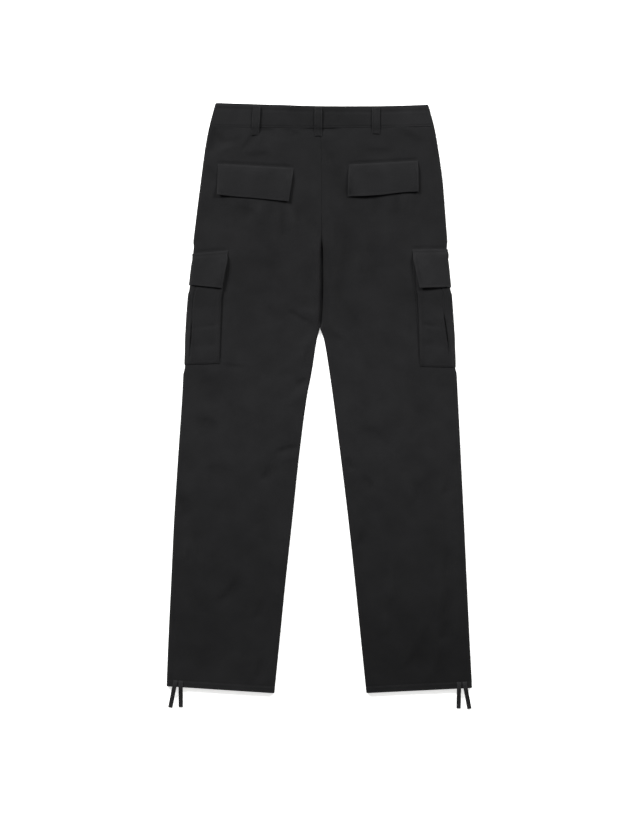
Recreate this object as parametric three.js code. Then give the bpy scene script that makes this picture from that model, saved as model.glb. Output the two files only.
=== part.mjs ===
// Cargo trousers laid flat on their front, with the back up.
// Millimetres. +Y points to the waist, +X to the wearer's right, +Z up from the floor.
// The origin is on the floor, under the middle of the trousers' outline.

import * as THREE from "three";

// Cloth
const cloth = 1.3; // one layer of twill with its seam allowance
const seam = 0.3; // left free between pieces that are sewn or lie together
const loft = 5.6; // floor to the top of the back panel where the legs lie flat
const foldRadius = 2.8; // the cloth's turn at the side folds and inseams
const hemCloth = 2; // the turned-up hem, two layers
const hemRise = 0.4; // how far the casing stands up over the leg
const casingHeight = 12.5;
const casingStep = 1; // the height over which the casing rises
const centreGap = 0.4; // between the two halves along the seat seam

// Waistband
const bandCloth = 1.7;
const bandLoft = 6.2;
const bandHump = 1.8; // more height at the centre, over the lapped front and the button
const panelHump = 0.9;
const lapPastCentre = 17; // the left end of the band runs this far over the right one
const underlap = 20; // and the right end this far under the left one
const waistCentre = 3.4;
const humpSpan = { full: 20, none: 42 }; // to each side of the centre
const humpFades = { full: 480, none: 440 }; // down the panels
const lapSettles = 35; // where the right end of the band is down on the floor

// Button on the centre front, under the band
const buttonRadius = 8.5;
const buttonHeight = 2;
const buttonX = waistCentre + 6.5;
const buttonY = 517;

// Belt loops
const loopWidth = 14;
const loopCloth = 1.6;
const loopSetDown = 1.5; // under the band's top edge
const frontLoopAt = 0.3; // of the way from the centre to the side
const frontLoopBottom = 482;
const loopUnder = { from: 0.2, full: 0.255, fullEnd: 0.345, end: 0.4 }; // raises the cloth here
const loopUnderFades = { full: 480, none: 470 };

// Pockets
const pocketCloth = 2;
const flapCloth = 1.9;
const pleatDepth = 0.8;
const seatFlapLift = 1.6; // the free edge of a flap stands off by this much
const cargoFlapLift = 1.4;

// Ties
const tieWidth = 7.6;
const tieThickness = 1.2;

const crotchY = 128;
const hemMiddle = -536.4;
const hemTilts = { none: -400, full: -510 }; // rows above a hem turn to run along it
const hemRun = { inseam: 84, side: 281 };
const seatCrease = { starts: 345, full: 150 }; // where the halves start to turn in at the seam
const frontCrease = { starts: 205, full: 135 };

// The outline of the sides, from the waist's top edge down to the hem.
const sideEdges = [
  { y: 542.7, left: -191.5, right: 200.2 },
  { y: 499, left: -203, right: 212 },
  { y: 457, left: -210.7, right: 219.4 },
  { y: 402, left: -218, right: 227.1 },
  { y: 328, left: -227.4, right: 233.1 },
  { y: 255, left: -235.7, right: 238.6 },
  { y: 181, left: -242, right: 244.2 },
  { y: 107, left: -247.3, right: 249.7 },
  { y: -3, left: -253, right: 255.6 },
  { y: -113, left: -260.5, right: 261.1 },
  { y: -224, left: -267.5, right: 266.6 },
  { y: -334, left: -272.7, right: 271.6 },
  { y: -445, left: -278, right: 276.9 },
  { y: -525, left: -281, right: 281 },
  { y: -543, left: -281, right: 281 },
];

// The outline of the legs between them, from the crotch down.
const inseams = [
  { y: 128, left: 1.1, right: 1.5 },
  { y: 107, left: -4.6, right: 8.8 },
  { y: 52, left: -13.2, right: 18 },
  { y: -3, left: -23.6, right: 25.8 },
  { y: -113, left: -37.7, right: 39.9 },
  { y: -224, left: -49.5, right: 53.4 },
  { y: -334, left: -61.6, right: 65.3 },
  { y: -445, left: -72.7, right: 76.5 },
  { y: -543, left: -82.6, right: 86.6 },
];

// The seat seam and the front seam, from the waist down to the crotch.
const centreSeam = [
  { y: 500, x: 3.4 },
  { y: 340, x: 4.4 },
  { y: 250, x: 4.6 },
  { y: 180, x: 4 },
  { y: 128, x: 1.3 },
];

// The waistband's top edge and the seam below it dip towards the centre.
const waistEdge = [
  { x: -192, top: 542.7, bottom: 499.6 },
  { x: -90, top: 539.4, bottom: 498 },
  { x: 0, top: 536.6, bottom: 497.2 },
  { x: 110, top: 536.6, bottom: 498.4 },
  { x: 201, top: 539.2, bottom: 500.2 },
];

// Each hem runs down towards the inseam.
const hems = {
  left: { atSide: -530, atInseam: -542.7 },
  right: { atSide: -533, atInseam: -542.7 },
};

// How much lies on the leg at the side, pocket and flap together, from above the flap down.
const pocketPile = [
  { y: 289, height: 0 },
  { y: 277, height: seam + flapCloth },
  { y: 264, height: seam + flapCloth },
  { y: 256, height: 2 * seam + pocketCloth + flapCloth },
  { y: 200, height: 2 * seam + pocketCloth + flapCloth },
  { y: 190, height: seam + pocketCloth },
  { y: 55, height: seam + pocketCloth },
  { y: 45, height: 0 },
];
const pileEndsAt = { full: 0.7, none: 0.62 }; // of the way from inseam to side

// Broad folds pressed into the back, as soft troughs along a line.
const troughs = [
  { x0: 14, y0: 400, x1: 52, y1: 335, width: 20, depth: 0.9 },
  { x0: 53, y0: 322, x1: 40, y1: 190, width: 24, depth: 1.2 },
  { x0: -138, y0: 350, x1: -146, y1: 300, width: 20, depth: 0.7 },
  { x0: -52, y0: 153, x1: -20, y1: 138, width: 14, depth: 0.8 },
  { x0: -38, y0: -96, x1: -76, y1: -104, width: 16, depth: 0.9 },
  { x0: -151, y0: -338, x1: -198, y1: -376, width: 20, depth: 1.1 },
  { x0: -226, y0: -410, x1: -204, y1: -470, width: 28, depth: 1.1 },
  { x0: 231, y0: -420, x1: 194, y1: -482, width: 28, depth: 1.2 },
];

// Seat pocket flaps, by their corners seen from above.
const seatFlaps = {
  left: {
    topOuter: [-186.9, 431.8],
    topInner: [-46.6, 423.7],
    lowInner: [-56.3, 362],
    lowOuter: [-188.6, 374.3],
  },
  right: {
    topOuter: [182.2, 437.4],
    topInner: [54.2, 430.2],
    lowInner: [52.4, 370],
    lowOuter: [182.9, 380.4],
  },
};

// Cargo pieces, measured from the side fold round the leg and along Y.
const cargo = {
  left: {
    flap: { topWidth: 66, lowWidth: 59, topAtFold: 266.5, topAtEdge: 272, lowAtFold: 208.2, lowAtEdge: 202.1 },
    pocket: { topWidth: 63, lowWidth: 66, bottomAtFold: 61.4, bottomAtEdge: 63.8 },
  },
  right: {
    flap: { topWidth: 66, lowWidth: 58, topAtFold: 275, topAtEdge: 274.2, lowAtFold: 204.3, lowAtEdge: 202.7 },
    pocket: { topWidth: 64, lowWidth: 67, bottomAtFold: 56.6, bottomAtEdge: 58.1 },
  },
};
const pocketTop = 255;
// The pleat runs between two folds, at these distances from the side fold.
const pleat = { from: -20, full: -18, fullEnd: 10, end: 12 };

// Back belt loops, by the middle of their upper and lower ends.
const backLoops = {
  left: { topX: -112.5, bottomX: -117.6, bottomY: 483.6 },
  centre: { topX: -1.7, bottomX: -1.7, bottomY: 481.8 },
  right: { topX: 104.3, bottomX: 104.3, bottomY: 485.9 },
};

// Tape ends, by where they leave the casing, where they end and how far past the hem.
const ties = {
  left_outer: { side: -1, exitX: -264.4, endX: -274.4, reach: 38.2 },
  left_inner: { side: -1, exitX: -255, endX: -255.2, reach: 37 },
  right_inner: { side: 1, exitX: 257.2, endX: 256.6, reach: 37 },
  right_outer: { side: 1, exitX: 267, endX: 276.6, reach: 38.2 },
};
// The way of a tape end: out on the casing, over its edge and down to the floor.
const tieRoute = [
  { pastHem: -7.5, aboveFloor: 6.9 },
  { pastHem: -1, aboveFloor: 6.9 },
  { pastHem: 4, aboveFloor: 6.1 },
  { pastHem: 10, aboveFloor: 3.3 },
  { pastHem: 16, aboveFloor: 1.4 },
  { pastHem: 23, aboveFloor: 0.8 },
];

// Points across a panel: the turn at the inseam, then parts of its width, then the turn at the side.
const turnAngles = [0, 30, 60, 90].map(THREE.MathUtils.degToRad);
const acrossPanel = [0.1, 0.2, 0.255, 0.345, 0.4, 0.5, 0.62, 0.7, 0.85];
const downHip = [480, 470, 440, 405, 370, 340, 312, 289, 277, 264, 256, 230, 200, 190, 160];
const downLeg = [128, 107, 80, 55, 45, 10, -35, -80, -130, -180, -230, -280, -330, -380, -430, -475, -510];

const charcoalTwill = { color: 0x282828, roughness: 0.92, metalness: 0 };
const charcoalTape = { color: 0x1c1c1c, roughness: 0.85, metalness: 0 };
const blackHorn = { color: 0x151515, roughness: 0.45, metalness: 0 };

const { clamp, lerp } = THREE.MathUtils;

const sideName = (side) => (side < 0 ? "left" : "right");

// Reads a column of a table at a place between its rows, with a smooth curve through the rows.
function curveAt(rows, place, key, at) {
  const falling = rows[0][place] > rows[1][place] ? -1 : 1;
  const last = rows.length - 1;
  const before = rows.findLastIndex((row) => (at - row[place]) * falling >= 0);
  const i = clamp(before, 0, last - 1);
  const slope = (j) => {
    const a = rows[Math.max(j - 1, 0)];
    const b = rows[Math.min(j + 1, last)];
    return (b[key] - a[key]) / (b[place] - a[place]);
  };
  const step = rows[i + 1][place] - rows[i][place];
  const t = clamp((at - rows[i][place]) / step, 0, 1);
  const startWeight = (1 + 2 * t) * (1 - t) ** 2;
  const endWeight = t * t * (3 - 2 * t);
  const bend = t * (1 - t) * step * ((1 - t) * slope(i) - t * slope(i + 1));
  return startWeight * rows[i][key] + endWeight * rows[i + 1][key] + bend;
}

// Reads the same with straight lines between the rows.
function lineAt(rows, key, y) {
  const i = clamp(rows.findLastIndex((row) => row.y >= y), 0, rows.length - 2);
  const t = clamp((y - rows[i].y) / (rows[i + 1].y - rows[i].y), 0, 1);
  return lerp(rows[i][key], rows[i + 1][key], t);
}

// 0 at none, 1 at full, and straight between them.
const ramp = (at, { none, full }) => clamp((at - none) / (full - none), 0, 1);

// 1 from full to fullEnd, 0 outside from and end, and straight between.
const plateau = (at, { from, full, fullEnd, end }) =>
  Math.min(ramp(at, { none: from, full }), ramp(at, { none: end, full: fullEnd }));

const waistSeamY = (x) => curveAt(waistEdge, "x", "bottom", x);
const waistTopY = (x) => curveAt(waistEdge, "x", "top", x);

function hemY(side, x) {
  const { atSide, atInseam } = hems[sideName(side)];
  return lerp(atInseam, atSide, ramp(Math.abs(x), { none: hemRun.inseam, full: hemRun.side }));
}

// The width of one half at a height: its inner edge, its side fold, and what lies on the side.
function halfAt(side, y) {
  const name = sideName(side);
  const pile = lineAt(pocketPile, "height", y);
  const outer = curveAt(sideEdges, "y", name, y) - side * pile;
  const inner = y > crotchY
    ? curveAt(centreSeam, "y", "x", y) + side * centreGap / 2
    : curveAt(inseams, "y", name, y);
  return { inner, outer, pile, width: Math.abs(outer - inner) };
}

// How far the trousers are raised off the floor by what lies under them.
function raisedBy(half, fraction, y) {
  const overPocket = half.pile * ramp(fraction, pileEndsAt);
  const overLoop = (loopCloth + seam) * plateau(fraction, loopUnder) * ramp(y, loopUnderFades);
  return Math.max(overPocket, overLoop);
}

function pressedBy(x, y) {
  return troughs.reduce((sum, trough) => {
    const along = new THREE.Vector2(trough.x1 - trough.x0, trough.y1 - trough.y0);
    const from = new THREE.Vector2(x - trough.x0, y - trough.y0);
    const t = clamp(from.dot(along) / along.lengthSq(), 0, 1);
    const away = from.sub(along.multiplyScalar(t)).length() / trough.width;
    return sum + trough.depth * Math.exp(-away * away);
  }, 0);
}

const overHump = (x) => ramp(Math.abs(x - waistCentre), humpSpan);

// How much of a round turn the inner edge makes: none in a flat seam, all at an inseam.
function innerTurn(face, y) {
  const { starts, full } = face > 0 ? seatCrease : frontCrease;
  return 1 - THREE.MathUtils.smoothstep(y, full, starts);
}

// A point on the outside of the cloth, and the way out of it there. side is -1 for the left half
// and 1 for the right one; face is 1 for the back, which lies up, and -1 for the front.
function outside(side, face, fromSide, y, gap = 0) {
  const half = halfAt(side, y);
  const fromInner = half.width - fromSide;
  const x = half.outer - side * fromSide;
  const raised = raisedBy(half, fromInner / half.width, y);
  const hump = panelHump * overHump(x) * ramp(y, humpFades);
  const casingTop = hemY(side, x) + casingHeight;
  const casing = hemRise * ramp(y, { none: casingTop, full: casingTop - casingStep });
  const height = loft + hump + casing - pressedBy(x, y);
  const sideCosine = 1 - clamp(fromSide / foldRadius, 0, 1);
  const sideSine = Math.sqrt(1 - sideCosine ** 2);
  const turn = innerTurn(face, y);
  const innerCosine = 1 - clamp(fromInner / foldRadius, 0, 1);
  const innerSine = 1 - turn * (1 - Math.sqrt(1 - innerCosine ** 2));
  const rise = Math.max(gap, (face > 0 ? height - loft / 2 : loft / 2) * sideSine * innerSine);
  const sideways = side * (sideCosine - turn * innerCosine);
  return {
    at: new THREE.Vector3(x, y, raised + loft / 2 + face * rise),
    out: new THREE.Vector3(sideways, 0, face * Math.sqrt(Math.max(0, 1 - sideways ** 2))),
  };
}

const movedOut = ({ at, out }, distance) => at.clone().addScaledVector(out, distance);

// A closed body between two grids of points, given as rows of the same length.
function bodyBetween(outer, inner) {
  const rows = outer.length;
  const columns = outer[0].length;
  const positions = [...outer.flat(), ...inner.flat()].flatMap((p) => p.toArray());
  const vertex = (row, column, layer) => layer * rows * columns + row * columns + column;
  const triangles = [];
  const quad = (a, b, c, d) => triangles.push([a, b, c], [a, c, d]);
  for (let r = 0; r < rows - 1; r++) {
    for (let c = 0; c < columns - 1; c++) {
      quad(vertex(r, c, 0), vertex(r + 1, c, 0), vertex(r + 1, c + 1, 0), vertex(r, c + 1, 0));
      quad(vertex(r, c, 1), vertex(r, c + 1, 1), vertex(r + 1, c + 1, 1), vertex(r + 1, c, 1));
    }
  }
  for (let r = 0; r < rows - 1; r++) {
    quad(vertex(r, 0, 0), vertex(r, 0, 1), vertex(r + 1, 0, 1), vertex(r + 1, 0, 0));
    const end = columns - 1;
    quad(vertex(r, end, 0), vertex(r + 1, end, 0), vertex(r + 1, end, 1), vertex(r, end, 1));
  }
  for (let c = 0; c < columns - 1; c++) {
    quad(vertex(0, c, 0), vertex(0, c + 1, 0), vertex(0, c + 1, 1), vertex(0, c, 1));
    const end = rows - 1;
    quad(vertex(end, c, 0), vertex(end, c, 1), vertex(end, c + 1, 1), vertex(end, c + 1, 0));
  }
  const point = (i) => new THREE.Vector3().fromArray(positions, i * 3);
  const volume = triangles.reduce((sum, [a, b, c]) => sum + point(a).dot(point(b).cross(point(c))), 0);
  const geometry = new THREE.BufferGeometry();
  geometry.setAttribute("position", new THREE.Float32BufferAttribute(positions, 3));
  geometry.setIndex((volume < 0 ? triangles.map(([a, b, c]) => [a, c, b]) : triangles).flat());
  geometry.computeVertexNormals();
  return geometry;
}

const trousers = new THREE.Group();

function sew(name, geometry, look = charcoalTwill) {
  const mesh = new THREE.Mesh(geometry, new THREE.MeshStandardMaterial(look));
  mesh.name = name;
  trousers.add(mesh);
}

// Distances from the side fold of the points across a panel, for a half of this width.
function stationsFromSide(width) {
  const turns = turnAngles.map((angle) => foldRadius * (1 - Math.cos(angle)));
  const middle = acrossPanel.map((fraction) => width * (1 - fraction));
  return [...turns.map((d) => width - d), ...middle, ...turns.toReversed()];
}

// A leg panel from the waist seam to the hem. Near the hem its rows tilt to follow the hem.
function legPanel(side, face) {
  const levels = [
    { waist: true },
    ...downHip.map((y) => ({ y })),
    ...downLeg.map((y) => ({ y })),
    { hem: casingHeight },
    { hem: casingHeight - casingStep },
    { hem: 0 },
  ];
  const rows = levels.map((level) => {
    const flatY = level.waist ? waistSeamY(0) : level.y ?? hemMiddle + level.hem;
    const { outer, width } = halfAt(side, flatY);
    return stationsFromSide(width).map((fromSide, column) => {
      const x = outer - side * fromSide;
      const tilt = (hemY(side, x) - hemMiddle) * ramp(flatY, hemTilts);
      const y = level.waist ? waistSeamY(x) - seam / 2 : flatY + tilt;
      return outside(side, face, stationsFromSide(halfAt(side, y).width)[column], y, seam / 2);
    });
  });
  const wall = levels.map((level) => (level.hem < casingHeight ? hemCloth : cloth));
  const outer = rows.map((row) => row.map((p) => p.at));
  const inner = rows.map((row, r) => row.map((p) => movedOut(p, -wall[r])));
  return bodyBetween(outer, inner);
}

for (const side of [-1, 1]) {
  sew(`back_${sideName(side)}`, legPanel(side, 1));
  sew(`front_${sideName(side)}`, legPanel(side, -1));
}

// The band is raised over the button: by its way up the band, and by x from the centre.
const buttonUnder = { from: 0, full: 0.27, fullEnd: 0.73, end: 1 };
const buttonAcross = { from: -underlap, full: -4, fullEnd: lapPastCentre + 2, end: lapSettles };

// A point on the waistband, by x and by its way up the band. lap is how far it is raised to lie
// on the other end of the band.
function bandPoint(face, x, up, lap = 0) {
  const side = x < waistCentre ? -1 : 1;
  const y = lerp(waistSeamY(x) + seam / 2, waistTopY(x), up);
  const half = { ...halfAt(side, y), inner: waistCentre };
  half.width = Math.abs(half.outer - half.inner);
  const fromSide = Math.abs(half.outer - x);
  const fraction = 1 - fromSide / half.width;
  const button = plateau(up, buttonUnder) * plateau(x - waistCentre, buttonAcross);
  const overButton = face < 0 ? (buttonHeight + seam) * button : 0;
  const raised = Math.max(raisedBy(half, fraction, y), overButton);
  const cosine = 1 - clamp(fromSide / (bandLoft / 2), 0, 1);
  const sine = Math.sqrt(1 - cosine ** 2);
  const height = face > 0 ? bandLoft / 2 + bandHump * overHump(x) : bandLoft / 2;
  const rise = Math.max(seam / 2, height * sine);
  return {
    at: new THREE.Vector3(x, y, raised + lap + bandLoft / 2 + face * rise),
    out: new THREE.Vector3(side * cosine, 0, face * sine),
  };
}

// x of the points along one half of the band at a level, from near the centre to the side fold.
function bandStations(side, up) {
  const y = lerp(waistSeamY(side * 190), waistTopY(side * 190), up);
  const { outer } = halfAt(side, y);
  const width = Math.abs(outer - waistCentre);
  const middle = acrossPanel.slice(1).map((fraction) => waistCentre + side * width * fraction);
  const turns = turnAngles.map((angle) => outer - side * (bandLoft / 2) * (1 - Math.cos(angle)));
  return [...middle, ...turns.reverse()];
}

function waistband(face, levels, stations, lapAt = () => 0) {
  const rows = levels.map((up) => stations(up).map((x) => bandPoint(face, x, up, lapAt(x))));
  const outer = rows.map((row) => row.map((p) => p.at));
  const inner = rows.map((row) => row.map((p) => movedOut(p, -bandCloth)));
  return bodyBetween(outer, inner);
}

const fromCentre = (...offsets) => offsets.map((offset) => waistCentre + offset);
sew("waistband_back", waistband(1, [0, 0.5, 1], (up) => [
  ...bandStations(-1, up).reverse(),
  ...fromCentre(-humpSpan.full, 0, humpSpan.full),
  ...bandStations(1, up),
]));
const bandLevels = Object.values(buttonUnder);
const { full: buttonEnd, fullEnd: lapEnd } = buttonAcross;
const midLap = 6;
sew("waistband_front_left", waistband(-1, bandLevels, (up) => [
  ...bandStations(-1, up).reverse(),
  ...fromCentre(-underlap, buttonEnd, midLap, lapPastCentre),
]));
sew("waistband_front_right", waistband(-1, bandLevels, (up) => [
  ...fromCentre(-underlap, buttonEnd, midLap, lapEnd, lapSettles),
  ...bandStations(1, up),
], (x) => (bandCloth + seam) * ramp(x - waistCentre, { none: lapSettles, full: lapEnd })));

// A sew-through button with a shallow dish on its outer face, which lies down.
function waistButton() {
  const [dish, bevel, rim] = [0.4, 0.5, 2];
  const profile = [
    [0, dish],
    [buttonRadius - rim - dish, dish],
    [buttonRadius - rim, 0],
    [buttonRadius - bevel, 0],
    [buttonRadius, bevel],
    [buttonRadius, buttonHeight - bevel],
    [buttonRadius - bevel, buttonHeight],
    [0, buttonHeight],
  ].map(([r, z]) => new THREE.Vector2(r, z));
  return new THREE.LatheGeometry(profile, 20).rotateX(Math.PI / 2).translate(buttonX, buttonY, 0);
}

sew("waist_button", waistButton(), blackHorn);

// Height of the cloth's upper face under a point of the back, on the band or on a panel.
function topOfCloth(x, y) {
  const bottom = waistSeamY(x);
  if (y > bottom) return bandPoint(1, x, (y - bottom) / (waistTopY(x) - bottom)).at.z;
  const side = x < halfAt(1, y).inner ? -1 : 1;
  return outside(side, 1, Math.abs(halfAt(side, y).outer - x), y).at.z;
}

// A belt loop on the back: sewn down at the band's top edge and below the waist seam.
function backLoop({ topX, bottomX, bottomY }) {
  const topY = waistTopY(topX) - loopSetDown;
  const seamY = waistSeamY(bottomX);
  const stations = [
    { y: topY, bow: 0 },
    { y: topY - 10, bow: 0.5 },
    { y: seamY + 10, bow: 0.5 },
    { y: seamY + 0.5, bow: 0.1 },
    { y: seamY - 7, bow: 0.1 },
    { y: bottomY, bow: 0 },
  ];
  const layer = (thickness) => stations.map(({ y, bow }) => {
    const middle = lerp(topX, bottomX, (topY - y) / (topY - bottomY));
    return [-0.5, 0, 0.5].map((share) => {
      const x = middle + share * loopWidth;
      return new THREE.Vector3(x, y, topOfCloth(x, y) + seam + bow + thickness);
    });
  });
  return bodyBetween(layer(loopCloth), layer(0));
}

for (const [name, place] of Object.entries(backLoops)) sew(`belt_loop_back_${name}`, backLoop(place));

// A belt loop on the front, pressed flat between the trousers and the floor.
function frontLoop(side) {
  const { inner, width } = halfAt(side, 510);
  const middle = inner + side * frontLoopAt * width;
  const topY = waistTopY(middle) - loopSetDown;
  const outline = new THREE.Shape([
    new THREE.Vector2(middle - loopWidth / 2, frontLoopBottom),
    new THREE.Vector2(middle + loopWidth / 2, frontLoopBottom),
    new THREE.Vector2(middle + loopWidth / 2, topY),
    new THREE.Vector2(middle - loopWidth / 2, topY),
  ]);
  return new THREE.ExtrudeGeometry(outline, { depth: loopCloth, bevelEnabled: false });
}

for (const side of [-1, 1]) sew(`belt_loop_front_${sideName(side)}`, frontLoop(side));

// A seat pocket flap: its top edge is sewn down and its free edge stands off the panel.
function seatFlap({ topOuter, topInner, lowInner, lowOuter }) {
  const across = [0, 0.125, 0.25, 0.375, 0.5, 0.625, 0.75, 0.875, 1];
  const down = [0, 0.3, 0.65, 1];
  const between = (from, to, share) => from.map((value, i) => lerp(value, to[i], share));
  const layer = (thickness) => down.map((v) => across.map((u) => {
    const [x, y] = between(between(topOuter, topInner, u), between(lowOuter, lowInner, u), v);
    return new THREE.Vector3(x, y, topOfCloth(x, y) + seam + seatFlapLift * v * v + thickness);
  }));
  return bodyBetween(layer(flapCloth), layer(0));
}

for (const [name, corners] of Object.entries(seatFlaps)) sew(`seat_flap_${name}`, seatFlap(corners));

// A point on the leg by its way round the side fold: above 0 on the back, below 0 on the front.
const quarterTurn = foldRadius * Math.PI / 2;
function roundTheSide(side, around, y) {
  const away = Math.abs(around);
  const fromSide = away < quarterTurn
    ? foldRadius * (1 - Math.cos(away / foldRadius))
    : foldRadius + away - quarterTurn;
  return outside(side, around < 0 ? -1 : 1, fromSide, y);
}

const foldStations = [1, 2 / 3, 1 / 3, 0, -1 / 3, -2 / 3, -1].map((share) => share * quarterTurn);

// A cargo pocket round the side fold, with a sunken pleat down its middle.
function cargoPocket(side) {
  const { topWidth, lowWidth, bottomAtFold, bottomAtEdge } = cargo[sideName(side)].pocket;
  const levels = [pocketTop, 230, 200, 190, 160, 128, 107, 80, null];
  const rows = levels.map((level) => {
    const down = (pocketTop - (level ?? bottomAtFold)) / (pocketTop - bottomAtFold);
    const width = lerp(topWidth, lowWidth, down);
    const around = [width, width * 0.6, pleat.end, pleat.fullEnd, ...foldStations,
      pleat.full, pleat.from, -width * 0.6, -width];
    return around.map((k) => {
      const y = level ?? lerp(bottomAtFold, bottomAtEdge, clamp(k / width, 0, 1));
      const sunk = pleatDepth * plateau(k, pleat);
      const leg = roundTheSide(side, k, y);
      return { outer: movedOut(leg, seam + pocketCloth - sunk), inner: movedOut(leg, seam) };
    });
  });
  return bodyBetween(rows.map((row) => row.map((p) => p.outer)), rows.map((row) => row.map((p) => p.inner)));
}

// A cargo flap: sewn to the leg above the pocket, then lying over it.
function cargoFlap(side) {
  const { topWidth, lowWidth, topAtFold, topAtEdge, lowAtFold, lowAtEdge } = cargo[sideName(side)].flap;
  const levels = [
    { edge: "top", above: seam, lift: 0 },
    { y: 264, above: seam, lift: 0 },
    { y: 256, above: 2 * seam + pocketCloth, lift: 0 },
    { y: 230, above: 2 * seam + pocketCloth, lift: 0.4 },
    { edge: "low", above: 2 * seam + pocketCloth, lift: 1 },
  ];
  const rows = levels.map(({ y: level, edge, above, lift }) => {
    const down = edge === "top" ? 0 : edge === "low" ? 1 : (topAtFold - level) / (topAtFold - lowAtFold);
    const width = lerp(topWidth, lowWidth, down);
    const around = [width, width * 0.7, width * 0.4, ...foldStations, -width * 0.4, -width * 0.7, -width];
    return around.map((k) => {
      const towardsEdge = clamp(k / width, 0, 1);
      const ends = {
        top: lerp(topAtFold, topAtEdge, towardsEdge),
        low: lerp(lowAtFold, lowAtEdge, towardsEdge),
      };
      const standOff = above + lift * cargoFlapLift * clamp((k - quarterTurn) / 20, 0, 1);
      const leg = roundTheSide(side, k, level ?? ends[edge]);
      return { outer: movedOut(leg, standOff + flapCloth), inner: movedOut(leg, standOff) };
    });
  });
  return bodyBetween(rows.map((row) => row.map((p) => p.outer)), rows.map((row) => row.map((p) => p.inner)));
}

for (const side of [-1, 1]) {
  sew(`cargo_pocket_${sideName(side)}`, cargoPocket(side));
  sew(`cargo_flap_${sideName(side)}`, cargoFlap(side));
}

// A flat tape end, drawn as a flat ribbon along its way.
function hemTie({ side, exitX, endX, reach }) {
  const edgeY = hemY(side, exitX);
  const start = tieRoute[0].pastHem;
  const route = [...tieRoute, { pastHem: reach, aboveFloor: tieRoute.at(-1).aboveFloor }];
  const path = new THREE.CatmullRomCurve3(route.map(({ pastHem, aboveFloor }) => new THREE.Vector3(
    lerp(exitX, endX, (pastHem - start) / (reach - start)),
    edgeY - pastHem,
    aboveFloor,
  )));
  const [thin, wide, corner] = [tieThickness / 2, tieWidth / 2, 0.3];
  const section = new THREE.Shape([
    [thin, wide - corner], [thin - corner, wide], [corner - thin, wide], [-thin, wide - corner],
    [-thin, corner - wide], [corner - thin, -wide], [thin - corner, -wide], [thin, corner - wide],
  ].map(([x, y]) => new THREE.Vector2(x, y)));
  return new THREE.ExtrudeGeometry(section, { steps: 10, bevelEnabled: false, extrudePath: path });
}

for (const [name, tie] of Object.entries(ties)) sew(`hem_tie_${name}`, hemTie(tie), charcoalTape);

export default trousers;
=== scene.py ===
# Charcoal cotton cargo trousers, laid flat with the back up.
# Shapes are worked out in millimetres, as whole arrays, and become metres when a mesh is made.
# +X is the wearer's right, +Y the waist, +Z up. side is -1 for the left half, 1 for the right one.
# face is 1 for the back, which lies up, and -1 for the front on the floor.

import math
from functools import partial

import bpy
import numpy as np
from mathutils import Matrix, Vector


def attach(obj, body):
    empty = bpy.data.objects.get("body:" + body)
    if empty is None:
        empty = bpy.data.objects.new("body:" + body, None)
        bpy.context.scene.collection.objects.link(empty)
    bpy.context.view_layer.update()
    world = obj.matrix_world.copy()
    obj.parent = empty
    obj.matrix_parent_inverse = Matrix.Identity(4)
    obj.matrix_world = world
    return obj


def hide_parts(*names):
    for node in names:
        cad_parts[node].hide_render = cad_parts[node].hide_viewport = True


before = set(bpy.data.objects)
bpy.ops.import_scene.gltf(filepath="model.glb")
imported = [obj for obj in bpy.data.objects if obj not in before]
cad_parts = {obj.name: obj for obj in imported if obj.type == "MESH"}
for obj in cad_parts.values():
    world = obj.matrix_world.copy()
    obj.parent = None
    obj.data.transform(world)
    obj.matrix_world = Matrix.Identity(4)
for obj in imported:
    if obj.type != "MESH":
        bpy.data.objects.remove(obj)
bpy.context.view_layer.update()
print("frame loaded")


def ramp(at, none, full):  # 0 at none, 1 at full, straight between
    return np.clip((at - none) / (full - none), 0, 1)


def ease(t):
    return t * t * (3 - 2 * t)


def mix(a, b, share):
    return a + (b - a) * share


def bump(at, middle, width):  # a soft bell, 1 at the middle
    return np.exp(-(((at - middle) / width) ** 2))


def smoothLine(at, places, values):
    # A cubic through the points, each slope taken from the two neighbours.
    order = np.argsort(places)
    p, v = np.array(places, float)[order], np.array(values, float)[order]
    slope = np.empty_like(p)
    slope[1:-1] = (v[2:] - v[:-2]) / (p[2:] - p[:-2])
    slope[0], slope[-1] = (v[1] - v[0]) / (p[1] - p[0]), (v[-1] - v[-2]) / (p[-1] - p[-2])
    i = np.clip(np.searchsorted(p, at) - 1, 0, len(p) - 2)
    step = p[i + 1] - p[i]
    t = np.clip((at - p[i]) / step, 0, 1)
    bend = t * (1 - t) * step * ((1 - t) * slope[i] - t * slope[i + 1])
    return (1 + 2 * t) * (1 - t) ** 2 * v[i] + t * t * (3 - 2 * t) * v[i + 1] + bend


def cloudy(x, y, size, seed):
    # Random heights from -1 to 1 on a square grid, joined by soft steps; size is one patch.
    cells = 64
    lattice = np.random.RandomState(seed).uniform(-1, 1, (cells, cells))
    u, v = x / size + cells / 2, y / size + cells / 2
    i, j = np.floor(u).astype(int), np.floor(v).astype(int)
    s, t = ease(u - i), ease(v - j)
    i, j, iNext, jNext = i % cells, j % cells, (i + 1) % cells, (j + 1) % cells
    low = mix(lattice[i, j], lattice[iNext, j], s)
    high = mix(lattice[i, jNext], lattice[iNext, jNext], s)
    return mix(low, high, t)


def wobble(along, size, seed):  # the same along a line
    return cloudy(along, np.zeros_like(along) + 0.5 * size, size, seed)


# Camera, floor and light

view = {
    "distance": 5.0,  # from the cloth, so that it sees the sides hardly at all
    "frameHeight": 1.4959,  # metres of cloth from the picture's lower to its upper edge
    "centre": (0.0004, -0.015),
    "clothHeight": 0.006,
    "sensor": 36,
}


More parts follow.
